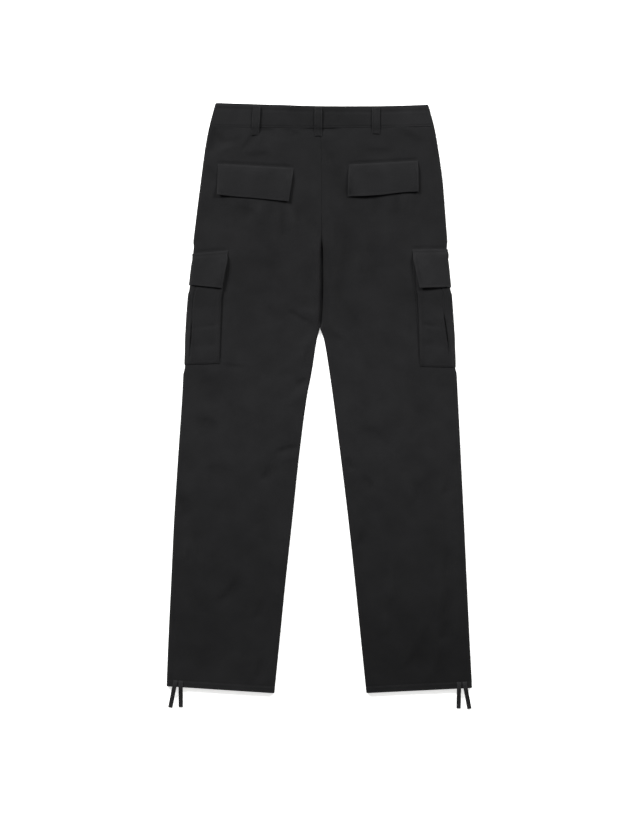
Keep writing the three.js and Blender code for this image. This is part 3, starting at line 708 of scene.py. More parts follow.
def legPoint(side, face, fromSide, y):
    # The outside of the cloth. It is a quarter circle at the side fold and at the inseam, flat
    # below, and above as high as the loft with its creases. At the seat seam it rounds off into a
    # valley with a flat floor, where the two legs bulge beside the seam.
    inner, outer, _, width = halfAt(side, y)
    fromInner = width - fromSide
    x = outer - side * fromSide
    raised = raisedBy(1, fromInner / width, y)
    middle = raised + legs["loft"] / 2
    radius = legs["foldRadius"]
    sideCosine = 1 - np.clip(fromSide / radius, 0, 1)
    sideSine = np.sqrt(1 - sideCosine ** 2)
    fold = ease(ramp(y, 141, legs["crotchY"]))
    valley = ease(ramp(y, 306, 266))
    if face > 0:
        casingTop = hemY(side, x) + legs["casing"]
        casing = legs["casingRise"] * ramp(y, casingTop + 0.4, casingTop - 1)
        sewn = 0.45 * bump(y, casingTop - 0.6, 1.0)
        puffed = ramp(y, casingTop - 1, casingTop - 11) * (0.5 + 0.2 * wobble(x, 10, 9))
        hump = legs["hump"] * ease(ramp(np.abs(x - legs["waistCentre"]), 42, 20)) * ramp(y, 440, 480)
        top = raised + legs["loft"] + hump + casing - sewn + puffed
        top = top + reliefAt(side, x, y, fromSide, fromInner)
        top = middle + (top - middle) * sideSine
        drop = mix(0.12, 0.8, ease(ramp(y, 352, 330)))
        seam = mix(mix(top - drop, raised + legs["valleyFloor"], valley), middle, fold)
        floor = legs["valleyWidth"] / 2 * valley * (1 - fold)
        reach = floor + mix(mix(1.2, legs["valleyLip"][side], valley), radius, fold)
    else:
        clear = ramp(fromSide, 6, 20) * ramp(fromInner, 4, 14) * ramp(waistSeamY(x) - y, 2, 12)
        clear = clear * ramp(y - hemY(side, x) - legs["casing"], 0, 10)
        top = middle - legs["loft"] / 2 * sideSine - creasesAt(x, y, frontCreases) * clear
        seam = mix(top, middle, fold)
        floor = 0
        reach = radius
    short = 1 - np.clip((fromInner - floor) / (reach - floor), 0, 1)
    share = 1 - np.sqrt(1 - short ** 2)
    z = mix(top, seam, share)
    outX = side * sideCosine
    out = np.stack([outX, 0 * z, face * np.sqrt(np.maximum(0, 1 - outX ** 2))], -1)
    return np.stack([x, y + 0 * z, z], -1), out


def legGrid(side, face):
    # Columns are a + b * width from the side fold: close together at both edges, even between.
    # Rows tilt towards the waist seam at the top and towards the hem at the bottom.
    half = legs["cloth"] / 2
    turn = np.radians([10, 25, 40, 55, 70, 90])
    atSide = np.concatenate([legs["foldRadius"] * (1 - np.cos(turn)), [4.2]])
    atSeam = np.array([0, 0.4, 0.8, 1.3, 1.75, 1.95, 2.15, 2.5, 3.1, 4.0, 5.0])
    wide = 6.0
    coarse = 1.0 if face > 0 else 2.0  # the side that lies on the floor
    count = int(round(250 / legs["columnStep"] / coarse))
    between = np.linspace(0, 1, count)
    levels = np.concatenate([
        waistSeamY(0.0) - 0.05 - half - np.array([0, 0.5, 1.2, 2.2, 3.6, 5.5]),
        np.arange(489, legs["hemMiddle"] + legs["casing"] + 3, -legs["rowStep"] * coarse),
        legs["hemMiddle"] + np.array([14, 13.2, 12.5, 11.9, 11.3, 10, 8, 6, 4, 2.6, 1.7, 1]),
    ])
    flatY = levels[:, None]  # before the rows tilt

    def fromSideAt(y, width):
        shift = legs["frontShift"] * side * (face < 0)
        first = mix(half, 0.3, ease(ramp(y, 350, 285))) + shift
        first = mix(first, 0.04, ease(ramp(y, 152, legs["crotchY"])))
        seamEnd = width - (first + atSeam * (wide - first) / wide)
        middle = wide + (width - 2 * wide) * (1 - between)
        sideEnd = np.broadcast_to(atSide[::-1], (len(levels), len(atSide)))
        return np.concatenate([seamEnd, middle, sideEnd], 1)

    _, outer, _, width = halfAt(side, flatY)
    x = outer - side * fromSideAt(flatY, width)
    y = flatY + (hemY(side, x) - legs["hemMiddle"]) * ramp(flatY, -400, -510)
    y = y + (waistSeamY(x) - waistSeamY(0.0)) * ramp(flatY, 470, 496)
    _, _, _, widthThere = halfAt(side, y)
    count = len(atSeam) + len(between)
    fromSide = fromSideAt(flatY, width)
    fromSide[:, :count] += (widthThere - width)[:, :count] * np.linspace(1, 0, count)
    return fromSide, y, flatY


def makeLegs():
    for side, face in ((-1, 1), (-1, -1), (1, 1), (1, -1)):
        fromSide, y, flatY = legGrid(side, face)
        casing = flatY < legs["hemMiddle"] + legs["casing"] - 0.3
        thickness = np.where(casing, legs["hemCloth"], legs["cloth"])
        hemEdge = ramp(flatY, legs["hemMiddle"] + 3.5, legs["hemMiddle"] + 1)
        wearAndHighlight = np.maximum(0.7 * ramp(fromSide, 5, 0), hemEdge)
        name = sideName(side)
        node, restsOn, folds = f"front_{name}", ["floor"], ()
        if face > 0:
            # The backs' creases also paint shade into their troughs and highlight onto their ridges.
            node, restsOn, folds = f"back_{name}", [f"front_{name}_cloth"], backCreases
        cloth(node, lambda a, b: legPoint(side, face, a, b), fromSide, y, thickness,
              legs["flat"], legs["flatArea"], restsOn, wearAndHighlight, (40.0 * side, 500.0), folds=folds)


makeLegs()
print("legs made")

# Waistband

band = {
    "cloth": 1.7,
    "loft": 6.2,
    "hump": 1.8,  # more height over the lapped front and the button
    "lap": 17,  # the left end of the band runs this far past the centre, over the right one
    "underlap": 20,
    "stitches": (2.6, 9.0),  # mm up from the seam, and down from the upper edge
    "button": 2.3,
    "rolled": 1.2,  # the upper edge stands this much past the solid's
}


def bandPoint(face, x, up, lap=0.0):
    # The outside of the band by x and by the way up from its seam, in mm: half an ellipse at the
    # two side folds, with its two edges rolled in and the rows of stitching pressed in.
    centre = legs["waistCentre"]
    side = np.where(x < centre, -1, 1)
    bottom, high = waistSeamY(x), waistTopY(x)
    height = high - bottom
    y = bottom + up
    outer = np.where(side < 0, halfAt(-1, y)[1], halfAt(1, y)[1])
    fromSide = np.abs(outer - x)
    fraction = 1 - fromSide / np.abs(outer - centre)
    share = up / height
    raised = raisedBy(0, fraction, y)
    over = band["button"] * np.minimum(ramp(share, 0, 0.27), ramp(share, 1, 0.73))
    over = over * np.minimum(ramp(x, centre - 20, centre - 4), ramp(x, centre + 35, centre + 19))
    raised = np.maximum(raised, over * (face < 0))
    cosine = 1 - np.clip(fromSide / (band["loft"] / 2), 0, 1)
    sine = np.sqrt(1 - cosine ** 2)
    rise = band["loft"] / 2 * sine
    if face > 0:
        hump = band["hump"] * ease(ramp(np.abs(x - centre), 42, 20))
        nearEdge = np.minimum(up, height - up)
        pressed = 0.6 * bump(up, band["stitches"][0], 1.0)
        pressed = pressed + 0.9 * bump(height - up, band["stitches"][1], 1.5)
        pressed = pressed + 0.3 * bump(nearEdge, 0.6, 0.9)
        waves = 0.3 * wobble(x, 13, 21) * bump(nearEdge, 4, 6) + 0.45 * cloudy(x, y, 46, 22)
        waves = waves + 0.25 * cloudy(x, y, 17, 23)
        rise = rise + (hump - pressed + waves) * ramp(fromSide, 0, 6)
        rise = rise + creasesAt(x, y, bandCreases) * ramp(fromSide, 0, 6)
    z = raised + lap + band["loft"] / 2 + face * rise
    return np.stack([x, y, z], -1), np.stack([side * cosine, 0 * z, face * sine + 0 * z], -1)


bandCreases = [
    (-204, 500, -176, 540, 9, 0.5, 3),
    (-160, 502, -140, 541, 12, 0.6, -3),
    (-96, 500, -84, 538, 10, -0.4, 3),
    (-50, 499, -44, 537, 13, 0.5, 2),
    (36, 498, 46, 536, 12, 0.5, -3),
    (70, 500, 64, 536, 9, -0.4, 2),
    (146, 500, 156, 537, 13, 0.5, 3),
    (186, 500, 178, 538, 10, 0.5, -3),
]


def bandGrid(start, end):
    # Across from start to end, which are places in mm or None for a side fold; up in rows.
    half = band["cloth"] / 2
    up = spaced(0.05 + half, 42 - half, 2.6, 8)[:, None]
    turn = np.radians([16, 28, 42, 58, 74, 90])
    near = band["loft"] / 2 * (1 - np.cos(turn))
    first, last = (-192 if start is None else start), (201 if end is None else end)
    inner = np.linspace(first + 8, last - 8, int((last - first) / 3))
    across = np.concatenate([first + np.append(near, 5), inner, last - np.append(near, 5)[::-1]])
    share = (across - first) / (last - first)
    height = waistTopY(across) - waistSeamY(across) + band["rolled"]
    up = (up - 21) / 21 * (height - 0.1) / 2 + height / 2 + 0 * across
    y = waistSeamY(across) + up
    left = halfAt(-1, y)[1] if start is None else start + 0 * y
    right = halfAt(1, y)[1] if end is None else end + 0 * y
    x = across + (left - first) * (1 - share) + (right - last) * share
    return x, up


def makeWaistband():
    # The back part goes round both sides. At the centre front the right end rises over the left.
    centre = legs["waistCentre"]
    fronts = ["waistband_front_left_cloth", "waistband_front_right_cloth"]
    parts = {
        "back": (1, None, None, 0, 428, 16600, fronts),
        "front_left": (-1, None, centre + band["lap"], 0, 222, 8900, ["floor"]),
        "front_right": (-1, centre - band["underlap"], None, 1, 226, 9000, ["floor", fronts[0]]),
    }
    for name, (face, start, end, over, long, area, restsOn) in parts.items():
        x, up = bandGrid(start, end)
        lap = over * (band["cloth"] + 0.3) * ramp(x, centre + 35, centre + 19)
        wearAndHighlight = 0.8 * np.maximum(ramp(up, 38, 41), ramp(up, 2, 0.6))
        cloth("waistband_" + name, lambda a, b: bandPoint(face, a, b, lap), x, up, band["cloth"],
              (long, 41), area, restsOn, wearAndHighlight)


makeWaistband()
print("waistband made")


# Sewing: each stitch is a small tube of five sides whose ends dip into the cloth

thread = {"thickness": 0.5, "stitch": 2.7, "pitch": 3.3, "above": 0.16}


def stitchRow(surface, way, length=thread["stitch"], above=thread["above"]):
    # way is a line of corners in the surface's own coordinates. Returns points and faces.
    pitch = thread["pitch"]
    way = np.array(way, float)
    along = np.concatenate([[0], np.cumsum(np.linalg.norm(np.diff(way, axis=0), axis=1))])
    count = max(1, int((along[-1] - length) // pitch) + 1)
    slack = (along[-1] - (count - 1) * pitch - length) / 2
    at = slack + np.arange(count)[:, None] * pitch + np.linspace(0, length, 4)
    centre, out = surface(np.interp(at, along, way[:, 0]), np.interp(at, along, way[:, 1]))
    out = unit(out)
    rise = above + thread["thickness"] * np.array([-0.75, 0, 0, -0.75])
    centre = centre + out * rise[:, None]
    forward = unit(np.gradient(centre, axis=1))
    sideways = unit(np.cross(out, forward))
    around = np.radians(np.arange(5) * 72)
    radius = thread["thickness"] / 2 * np.array([0.6, 1, 1, 0.6])[:, None, None]
    spoke = sideways[:, :, None] * np.cos(around)[:, None]
    spoke = spoke + out[:, :, None] * np.sin(around)[:, None]
    points = (centre[:, :, None] + spoke * radius).reshape(-1, 3)
    first = np.arange(count)[:, None, None] * 20 + np.arange(3)[:, None] * 5
    a, b = first + np.arange(5), first + (np.arange(5) + 1) % 5
    sides = np.stack([b, a, a + 5, b + 5], -1).reshape(-1, 4)
    ends = np.arange(count)[:, None] * 20
    caps = np.concatenate([ends + np.arange(5), ends + 19 - np.arange(5)])
    return points, sides[:, ::-1], caps[:, ::-1]


def sewn(name, rows):
    # All rows of one piece's sewing as one mesh.
    starts = np.concatenate([[0], np.cumsum([len(r[0]) for r in rows])])
    points = np.concatenate([r[0] for r in rows])
    sides = np.concatenate([r[1] + n for r, n in zip(rows, starts)])
    caps = np.concatenate([r[2] + n for r, n in zip(rows, starts)])
    makePiece(name, points, [sides, caps], sewingThread)


def sewWaistband():
    rows = []
    for up in (band["stitches"][0], 41 - band["stitches"][1]):
        across = np.linspace(-187, 196, 90)
        share = up / 41
        rows.append(stitchRow(lambda x, y: bandPoint(1, x, share * (waistTopY(x) - waistSeamY(x))),
                              np.stack([across, 0 * across], -1)))
    sewn("waistband_stitches", rows)


sewWaistband()


def topOfCloth(x, y):
    # Height of the back under a point, on the band or on a leg, and straight up as the way out.
    bottom = waistSeamY(x)
    onBand = bandPoint(1, x, np.maximum(y - bottom, 0.0))[0][..., 2]
    yLeg = np.minimum(y, bottom - 0.5)
    inner = smoothLine(yLeg, outline["centreY"], outline["centreX"])
    z = [legPoint(side, 1, np.abs(halfAt(side, yLeg)[1] - x), yLeg)[0][..., 2] for side in (-1, 1)]
    return np.where(y > bottom, onBand, np.where(x < inner, *z))


# Belt loops

loops = {
    "width": 14,
    "cloth": 1.4,
    "setDown": 1.5,
    "back": {  # x of the upper and of the lower end, y of the lower end, and how far the loop leans
        "left": (-115.0, -118.0, 483.6, 0.09),
        "centre": (-1.7, -1.7, 481.8, 0.0),
        "right": (104.3, 104.3, 485.9, -0.09),
    },
    "frontAt": 0.3,
    "frontBottom": 482,
}


def backLoopPoint(topX, bottomX, bottomY, lean, s, t):
    # s across and t down from the top end. The strip goes over the band in a low bow and comes
    # down to the leg below the seam; it sags a little between its two rows of stitching.
    topY = waistTopY(topX) - loops["setDown"]
    length = topY - bottomY
    seamT = topY - waistSeamY(bottomX)
    stations = np.array([0, 4, 12, seamT - 9, seamT - 1, seamT + 5, length])
    bow = np.array([1.5, 2.1, 2.9, 2.7, 2.3, 1.7, 1.0])
    alongX = mix(topX, bottomX, stations / length)
    base = topOfCloth(alongX, topY - stations) + bow
    x = mix(topX, bottomX, t / length) + s
    across = 0.25 * bump(np.abs(s), 0, 3) + 0.3 * bump(np.abs(s), 4.4, 0.8)
    z = smoothLine(t, stations, base) - across + 0.1 * wobble(t + 40 * s, 9, 31)
    z = z + lean * s * ease(ramp(t, 0, 9)) * ease(ramp(t, length, length - 9))
    y = topY - t + 0 * z
    return np.stack([x + 0 * z, y, z], -1), upright(z)


def makeLoops():
    half = loops["cloth"] / 2
    acrossHalf = loops["width"] / 2 - half
    across = np.array([-1, -0.93, -0.84, -0.75, -0.64, -0.5, -0.25, 0]) * acrossHalf
    across = np.concatenate([across, -across[-2::-1]])[None, :]
    for name, place in loops["back"].items():
        length = waistTopY(place[0]) - loops["setDown"] - place[2]
        surface = lambda s, t: backLoopPoint(*place, s, t)
        down = spaced(half, length - half, 1.6, 3.5)[:, None]
        wearAndHighlight = np.maximum(ramp(np.abs(across), 5.2, 6.3), ramp(down, 2, half)) + 0 * down
        thickness = loops["cloth"] - 0.6 * ease(ramp(down, length - 9, length - 1)) + 0 * across
        cloth(f"belt_loop_back_{name}", surface, across + 0 * down, down + 0 * across, thickness,
              (loops["width"], length), loops["width"] * length,
              ["waistband_back_cloth", "back_left_cloth", "back_right_cloth"], wearAndHighlight)
        rows = [stitchRow(surface, [(s, 2.5), (s, length - 2)]) for s in (-4.4, 4.4)]
        for t in (1.4, length - 2.6):
            for s in np.arange(-5, 5.1, 0.85):
                rows.append(stitchRow(surface, [(s - 0.2, t), (s + 0.2, t + 1.9)], 1.9, 0.2))
        sewn(f"belt_loop_{name}_stitches", rows)
    for side in (-1, 1):
        inner, _, _, width = halfAt(side, np.array(510.0))
        middle = inner + side * loops["frontAt"] * width
        topY = waistTopY(middle) - loops["setDown"]
        length = topY - loops["frontBottom"]
        down = spaced(half, length - half, 2.4, 3.5)[:, None]
        surface = lambda s, t: (np.stack([middle + s, topY - t, 0 * t], -1), upright(t, -1))
        cloth(f"belt_loop_front_{sideName(side)}", surface, across + 0 * down, down + 0 * across,
              loops["cloth"], (loops["width"], length), loops["width"] * length, ["floor"])


makeLoops()
print("belt loops made")


# Seat pocket flaps

seatFlaps = {
    "cloth": 1.5,
    "stitchIn": 5.6,
    "topStitches": (1.6, 6.4),  # mm under the sewn edge
    "sewnThinner": 0.8,
    # How far the free edge stands off the seat, in five places from the side to the middle.
    "lift": {-1: (2.8, 0.2, 0.1, 0.5, 1.3), 1: (0.4, 0.5, 1.3, 2.5, 0.2)},
    # of both sides, and left at the inner corner
    "sideLift": {-1: (0.0, 2.4, 1.0), 1: (1.5, 1.9, 0.1)},
    "edgeWave": {-1: (0.6, -0.2, 0.3, 0.2, 0.0), 1: (-0.3, 0.6, -0.9, -0.5, 1.2)},
    "curl": {-1: 3.0, 1: 0.0},  # of the lower outer corner
    "pressed": {-1: 0.7, 1: 0.0},  # how much thinner the outer edge is
    "tone": 1.08,
}


def bordered(fromEdge, along, seed):
    # What a turned edge of double cloth does: thick over its allowance, pressed in along the
    # stitching, and a little puckered beside it.
    thick = 0.3 * (1 - ease(ramp(fromEdge, 6.6, 8.4)))
    pressed = 0.32 * bump(fromEdge, seatFlaps["stitchIn"], 0.8)
    pucker = 0.16 * wobble(along, 7, seed) * bump(fromEdge, seatFlaps["stitchIn"], 4)
    return thick - pressed + pucker


def seatFlapSize(side):
    corner = np.array(outline["seatFlaps"][side])
    width = np.linalg.norm(corner[1] - corner[0]) / 2 + np.linalg.norm(corner[2] - corner[3]) / 2
    height = np.linalg.norm(corner[3] - corner[0]) / 2 + np.linalg.norm(corner[2] - corner[1]) / 2
    return width, height


def seatFlapPoint(side, s, t):
    # s from the outer edge, t from the sewn top edge down; the place comes from the corners.
    width, height = seatFlapSize(side)
    corner = np.array(outline["seatFlaps"][side])
    u, v = (s / width)[..., None], (t / height)[..., None]
    place = mix(mix(corner[0], corner[1], u), mix(corner[3], corner[2], u), v)
    fifths = np.linspace(0, width, 5)
    x = place[..., 0]
    y = place[..., 1] + smoothLine(s, fifths, seatFlaps["edgeWave"][side]) * (t / height) ** 3
    fromSides = np.minimum(s, width - s)
    lift = smoothLine(s, fifths, seatFlaps["lift"][side]) * (t / height) ** 2.2
    outerLift, innerLift, left = seatFlaps["sideLift"][side]
    innerLift = innerLift * mix(1, left, ease(ramp(t / height, 0.7, 1)))
    sides = outerLift * ease(ramp(s, 14, 0)) + innerLift * ease(ramp(width - s, 14, 0))
    lift = np.maximum(lift, sides * ease(ramp(t, 3, 22)))
    lift = lift + seatFlaps["curl"][side] * bump(s, 0, 9) * (t / height) ** 5
    lift = lift - seatFlaps["pressed"][side] * ease(ramp(s, 8, 0))
    swell = 0.6 * ease(ramp(t, 0, 20)) * ease(ramp(fromSides, -4, 9)) * ease(ramp(height - t, -2, 14))
    seed = 41 + side
    edges = bordered(np.minimum(fromSides, height - t), s + t, seed)
    first, second = seatFlaps["topStitches"]
    top = -0.3 * bump(t, first, 0.7) - 0.3 * bump(t, second, 0.8)
    top = top + 0.15 * wobble(s, 8, seed + 5) * bump(t, 6, 5)
    waves = 0.35 * cloudy(x, y, 30, seed + 1) + 0.12 * cloudy(x, y, 11, seed + 2)
    sewnDown = seatFlaps["sewnThinner"] * ease(ramp(t, 9, 0))
    z = topOfCloth(x, y) + 1.75 - sewnDown + lift + swell + edges + top + waves * ramp(t, 0, 12)
    return np.stack([x, y, z], -1), upright(z)


def makeSeatFlaps():
    half = seatFlaps["cloth"] / 2
    for side in (-1, 1):
        name = sideName(side)
        width, height = seatFlapSize(side)
        surface = lambda s, t: seatFlapPoint(side, s, t)
        s = spaced(half, width - half, 2.6, 9)[None, :]
        t = spaced(half, height - half, 2.4, 9)[:, None]
        s, t = s + 0 * t, t + 0 * s
        wearAndHighlight = ramp(np.minimum.reduce([s, width - s, t, height - t]), 2.0, half)
        thinner = np.maximum(seatFlaps["sewnThinner"] * ease(ramp(t, 9, 0)),
                             seatFlaps["pressed"][side] * ease(ramp(s, 8, 0)))
        cloth(f"seat_flap_{name}", surface, s, t, seatFlaps["cloth"] - thinner,
              (width + 8, height + 2), width * height, [f"back_{name}_cloth"], wearAndHighlight,
              tone=seatFlaps["tone"])
        inset = seatFlaps["stitchIn"]
        right, low = width - inset, height - inset
        rows = [stitchRow(surface, [(inset, 7), (inset, low), (right, low), (right, 7)])]
        rows += [stitchRow(surface, [(1.5, t), (width - 1.5, t)]) for t in seatFlaps["topStitches"]]
        sewn(f"seat_flap_{name}_stitches", rows)


makeSeatFlaps()
print("seat flaps made")


# Cargo pockets and their flaps: around is the way from the side fold round the leg, above 0 on
# the back and below 0 on the front

cargo = {
    "cloth": 0.9,
    "flapCloth": 1.4,
    -1: {
        "pocket": (58.3, 64.5),  # widths at the top and below
        "bottom": (61.4, 63.8),  # its lower edge at the fold and at its end
        "gusset": 1.2,
        "pleat": (136, 10.1, 74, 10.6),  # y and way round of the open pleat's upper and lower end
        "rim": 0.9,  # more height of the body along its edge
        "lift": 0.9,
        "corner": 0.85,  # how much less the flap's side stands off at its lower corner
        "tone": 1.08,
    },
    1: {
        "pocket": (58.8, 65.4),
        "bottom": (56.6, 58.1),
        "gusset": 4.0,
        "pleat": (150, 15.7, 82, 10.8),
        "rim": 1.3,
        "lift": 2.4,
        "corner": 0.5,
        "tone": 1.26,
    },
    "pocketTop": 255,
    "pleatFront": -19,
    "quarterTurn": 2.8 * math.pi / 2,
    "flapDown": [0, 4, 12, 30, 62, 72],  # mm down the flap, and its height over the leg
    "flapHeight": [1.1, 1.7, 2.8, 3.95, 4.7, 4.9],
}


def roundTheSide(side, around, y):
    # A point of the leg by its way round the side fold.
    away = np.abs(around)
    radius = legs["foldRadius"]
    onTurn = radius * (1 - np.cos(np.minimum(away, cargo["quarterTurn"]) / radius))
    fromSide = np.where(away < cargo["quarterTurn"], onTurn, radius + away - cargo["quarterTurn"])
    back, outBack = legPoint(side, 1, fromSide, y)
    front, outFront = legPoint(side, -1, fromSide, y)
    up = (around >= 0)[..., None]
    return np.where(up, back, front), np.where(up, outBack, outFront)


def onFloor(points):  # pressed flat where the floor is in the way
    points[..., 2] = np.maximum(points[..., 2], 0)
    return points


def pocketEdges(side, y):
    # The body's width, how far the gusset shows beyond it, and where the pleat opens.
    facts = cargo[side]
    down = (cargo["pocketTop"] - y) / (cargo["pocketTop"] - facts["bottom"][0])
    width = mix(*facts["pocket"], down)
    gusset = facts["gusset"] * ease(ramp(y, 118, 150)) + 0.8
    highY, highAround, lowY, lowAround = facts["pleat"]
    return width, gusset, mix(highAround, lowAround, ramp(y, highY, lowY))


def pocketY(side, around, t):
    foldLow, edgeLow = cargo[side]["bottom"]
    long = cargo["pocketTop"] - foldLow
    low = mix(foldLow, edgeLow, ramp(around, 0, 64))
    return cargo["pocketTop"] - t / long * (cargo["pocketTop"] - low)


def pocketPoint(side, around, t):
    # t is mm down from the top edge. The body stands on a low gusset, puffed, and its pleat gapes
    # over the lower half as a groove with steep walls and two soft lips.
    y = pocketY(side, around, t)
    width, gusset, pleat = pocketEdges(side, y)
    fromBody = width - np.abs(around)
    fromLow = cargo["pocketTop"] - cargo[side]["bottom"][0] - t
    onBack = ramp(around, -4, 8)
    wall = ease(ramp(fromBody, -0.4, 0.9))
    body = wall * ease(ramp(t, -5, 18)) * ramp(fromLow, 0, 2.4) * mix(0.3, 1, ramp(fromLow, 2, 60))
    puffed = ease(ramp(fromBody, 0, 5)) * ease(ramp(fromLow, 0, 90)) * ramp(t, 0, 50)
    belowFlap = ease(ramp(t, 50, 62)) * ramp(fromLow, 1, 14) * onBack
    rim = cargo[side]["rim"] * wall * ease(ramp(fromBody, 9, 4)) * belowFlap
    slump = 0.3 * cloudy(around, y, 26, 51 + side) + 0.15 * cloudy(around, y, 12, 53 + side)
    folds = 0.5 * bump(y, 126 + 0.16 * around, 4) + 0.4 * bump(y, 139 - 0.1 * around, 5)
    folds = folds + 0.35 * bump(y, 92 + 0.12 * around, 6) - 0.3 * bump(y, 112, 7)
    soft = (slump - folds) * ease(ramp(fromBody, 1, 12)) * ease(ramp(fromLow, 1, 14)) * onBack
    stitched = bump(fromBody, 2.4, 0.7) + bump(fromLow, 2.2, 0.7) + bump(fromLow, 8, 0.8)
    stitched = 0.2 * stitched * onBack
    height = 1.0 + 1.0 * body + 1.1 * puffed + rim + soft - stitched - 0.3 * ease(ramp(fromLow, 4, 0))
    highY, _, lowY, _ = cargo[side]["pleat"]
    gaping = ease(ramp(y, lowY - 6, lowY + 8)) * mix(0.25, 1, ease(ramp(y, highY + 12, highY - 8)))
    fromPleat = np.abs(around - pleat)
    height = height + 0.8 * bump(fromPleat, 3, 1.5) * gaping
    height = mix(height, 0.75, ease(ramp(fromPleat, 1.9, 0.9)) * gaping)
    height = height - 0.5 * bump(around, cargo["pleatFront"], 0.8)
    over = 1.5 * wall * ease(ramp(fromBody, 9, 1)) * belowFlap  # the edge leans out over the gusset
    point, out = roundTheSide(side, around + over, y)
    return onFloor(point + out * np.maximum(height, 0.7)[..., None]), out


def pocketGrid(side):
    # Columns follow the pleat and the edge of the body; rows run from the top edge down.
    long = cargo["pocketTop"] - cargo[side]["bottom"][0]
    half = cargo["cloth"] / 2
    t = spaced(half, long - half, 2.2, 9)[:, None]
    width, gusset, pleat = pocketEdges(side, pocketY(side, 30.0, t))
    turn = cargo["quarterTurn"] * np.linspace(-1, 1, 9) + 0 * t
    between = lambda a, b, count: a + (b - a) * np.linspace(0, 1, count + 2)[1:-1]
    groove = np.array([0.4, 0.9, 1.2, 1.55, 1.9, 2.4, 3.2, 4.4])
    groove = np.concatenate([-groove[::-1], groove])
    body = width + np.array([-9, -6, -4.4, -3.3, -2.4, -1.6, -0.9, -0.4, 0, 0.4, 0.8])
    end = width + gusset - half
    around = np.concatenate([
        -width + np.array([half, 1, 2, 3.4, 5.5, 8]), between(-width + 8, -21.5, 9),
        cargo["pleatFront"] + np.array([-2, -1, -0.4, 0, 0.4, 1, 2.5]) + 0 * t,
        between(-16.5, turn[:, :1], 3), turn, between(turn[:, -1:], pleat + groove[0], 1),
        pleat + groove, between(pleat + groove[-1], width - 9, 14), body,
        np.maximum(between(width + 0.8, end, 3), width + 0.9), np.maximum(end, width + 1.2),
    ], 1)
    return around, t + 0 * around, long


def flapPoint(side, a, t):
    # a runs from the front edge, -1, over the fold to the back one, 1; t from 0 at the sewn top
    # edge to 1 at the free one. It climbs over the pocket and hangs clear of it at its free edges.
    topWidth, lowWidth, topAtFold, topAtEdge, lowAtFold, lowAtEdge = outline["cargoFlaps"][side]
    width = mix(topWidth, lowWidth, t)
    around = a * width
    back = np.maximum(a, 0)
    y = mix(mix(topAtFold, topAtEdge, back), mix(lowAtFold, lowAtEdge, back), t)
    long = mix(topAtFold - lowAtFold, topAtEdge - lowAtEdge, back)
    down, fromSides = t * long, width - np.abs(around)
    height = smoothLine(down, cargo["flapDown"], cargo["flapHeight"])
    height = height + cargo[side]["lift"] * ramp(around, 4, 34) * t ** 2
    gaping = ease(ramp(t, 0.03, 0.35)) * (1 - cargo[side]["corner"] * ease(ramp(t, 0.55, 1)))
    height = height + 1.6 * ease(ramp(width - around, 20, 1)) * gaping
    edges = bordered(np.minimum(fromSides, long - down), around + down, 61 + side)
    sewn = -0.2 * bump(down, 1.6, 0.7) - 0.8 * bump(down, 6.0, 1.2)
    soft = 0.3 * cloudy(around, y, 22, 63 + side) + 0.12 * cloudy(around, y, 9, 65 + side)
    height = height + (edges + sewn + soft * ease(ramp(down, 0, 12))) * ramp(around, -4, 8)
    point, out = roundTheSide(side, around, y)
    return onFloor(point + out * height[..., None]), out


def makeCargoPocket(side):
    name = sideName(side)
    around, t, long = pocketGrid(side)
    thickness = cargo["cloth"] - 0.3 * ease(ramp(long - t, 4, 0))
    width, _, _ = pocketEdges(side, pocketY(side, around, t))
    surface = lambda p, q: pocketPoint(side, p, q)
    wearAndHighlight = np.maximum(0.6 * ramp(long - t, 1.6, 0.5), 0.7 * bump(around, width - 1.6, 1.2))
    # A lighter strip beside the side fold over the pocket's lower half: partly wear, partly painted
    # highlight.
    wearAndHighlight = np.maximum(wearAndHighlight, bump(around, 5, 4) * ramp(t, 90, 125))
    wide = np.ptp(around)
    cloth(f"cargo_pocket_{name}", surface, around, t, thickness, (wide, long + 4), wide * long,
          [f"back_{name}_cloth", f"front_{name}_cloth"], wearAndHighlight)
    down = np.linspace(50, long - 2.2, 9)
    beside = pocketEdges(side, pocketY(side, 60.0, down))[0] - 2.4
    rows = [stitchRow(surface, np.stack([beside, down], -1))]
    rows += [stitchRow(surface, [(1.0, long - up), (beside[-1], long - up)]) for up in (2.2, 8.0)]
    sewn(f"cargo_pocket_{name}_stitches", rows)


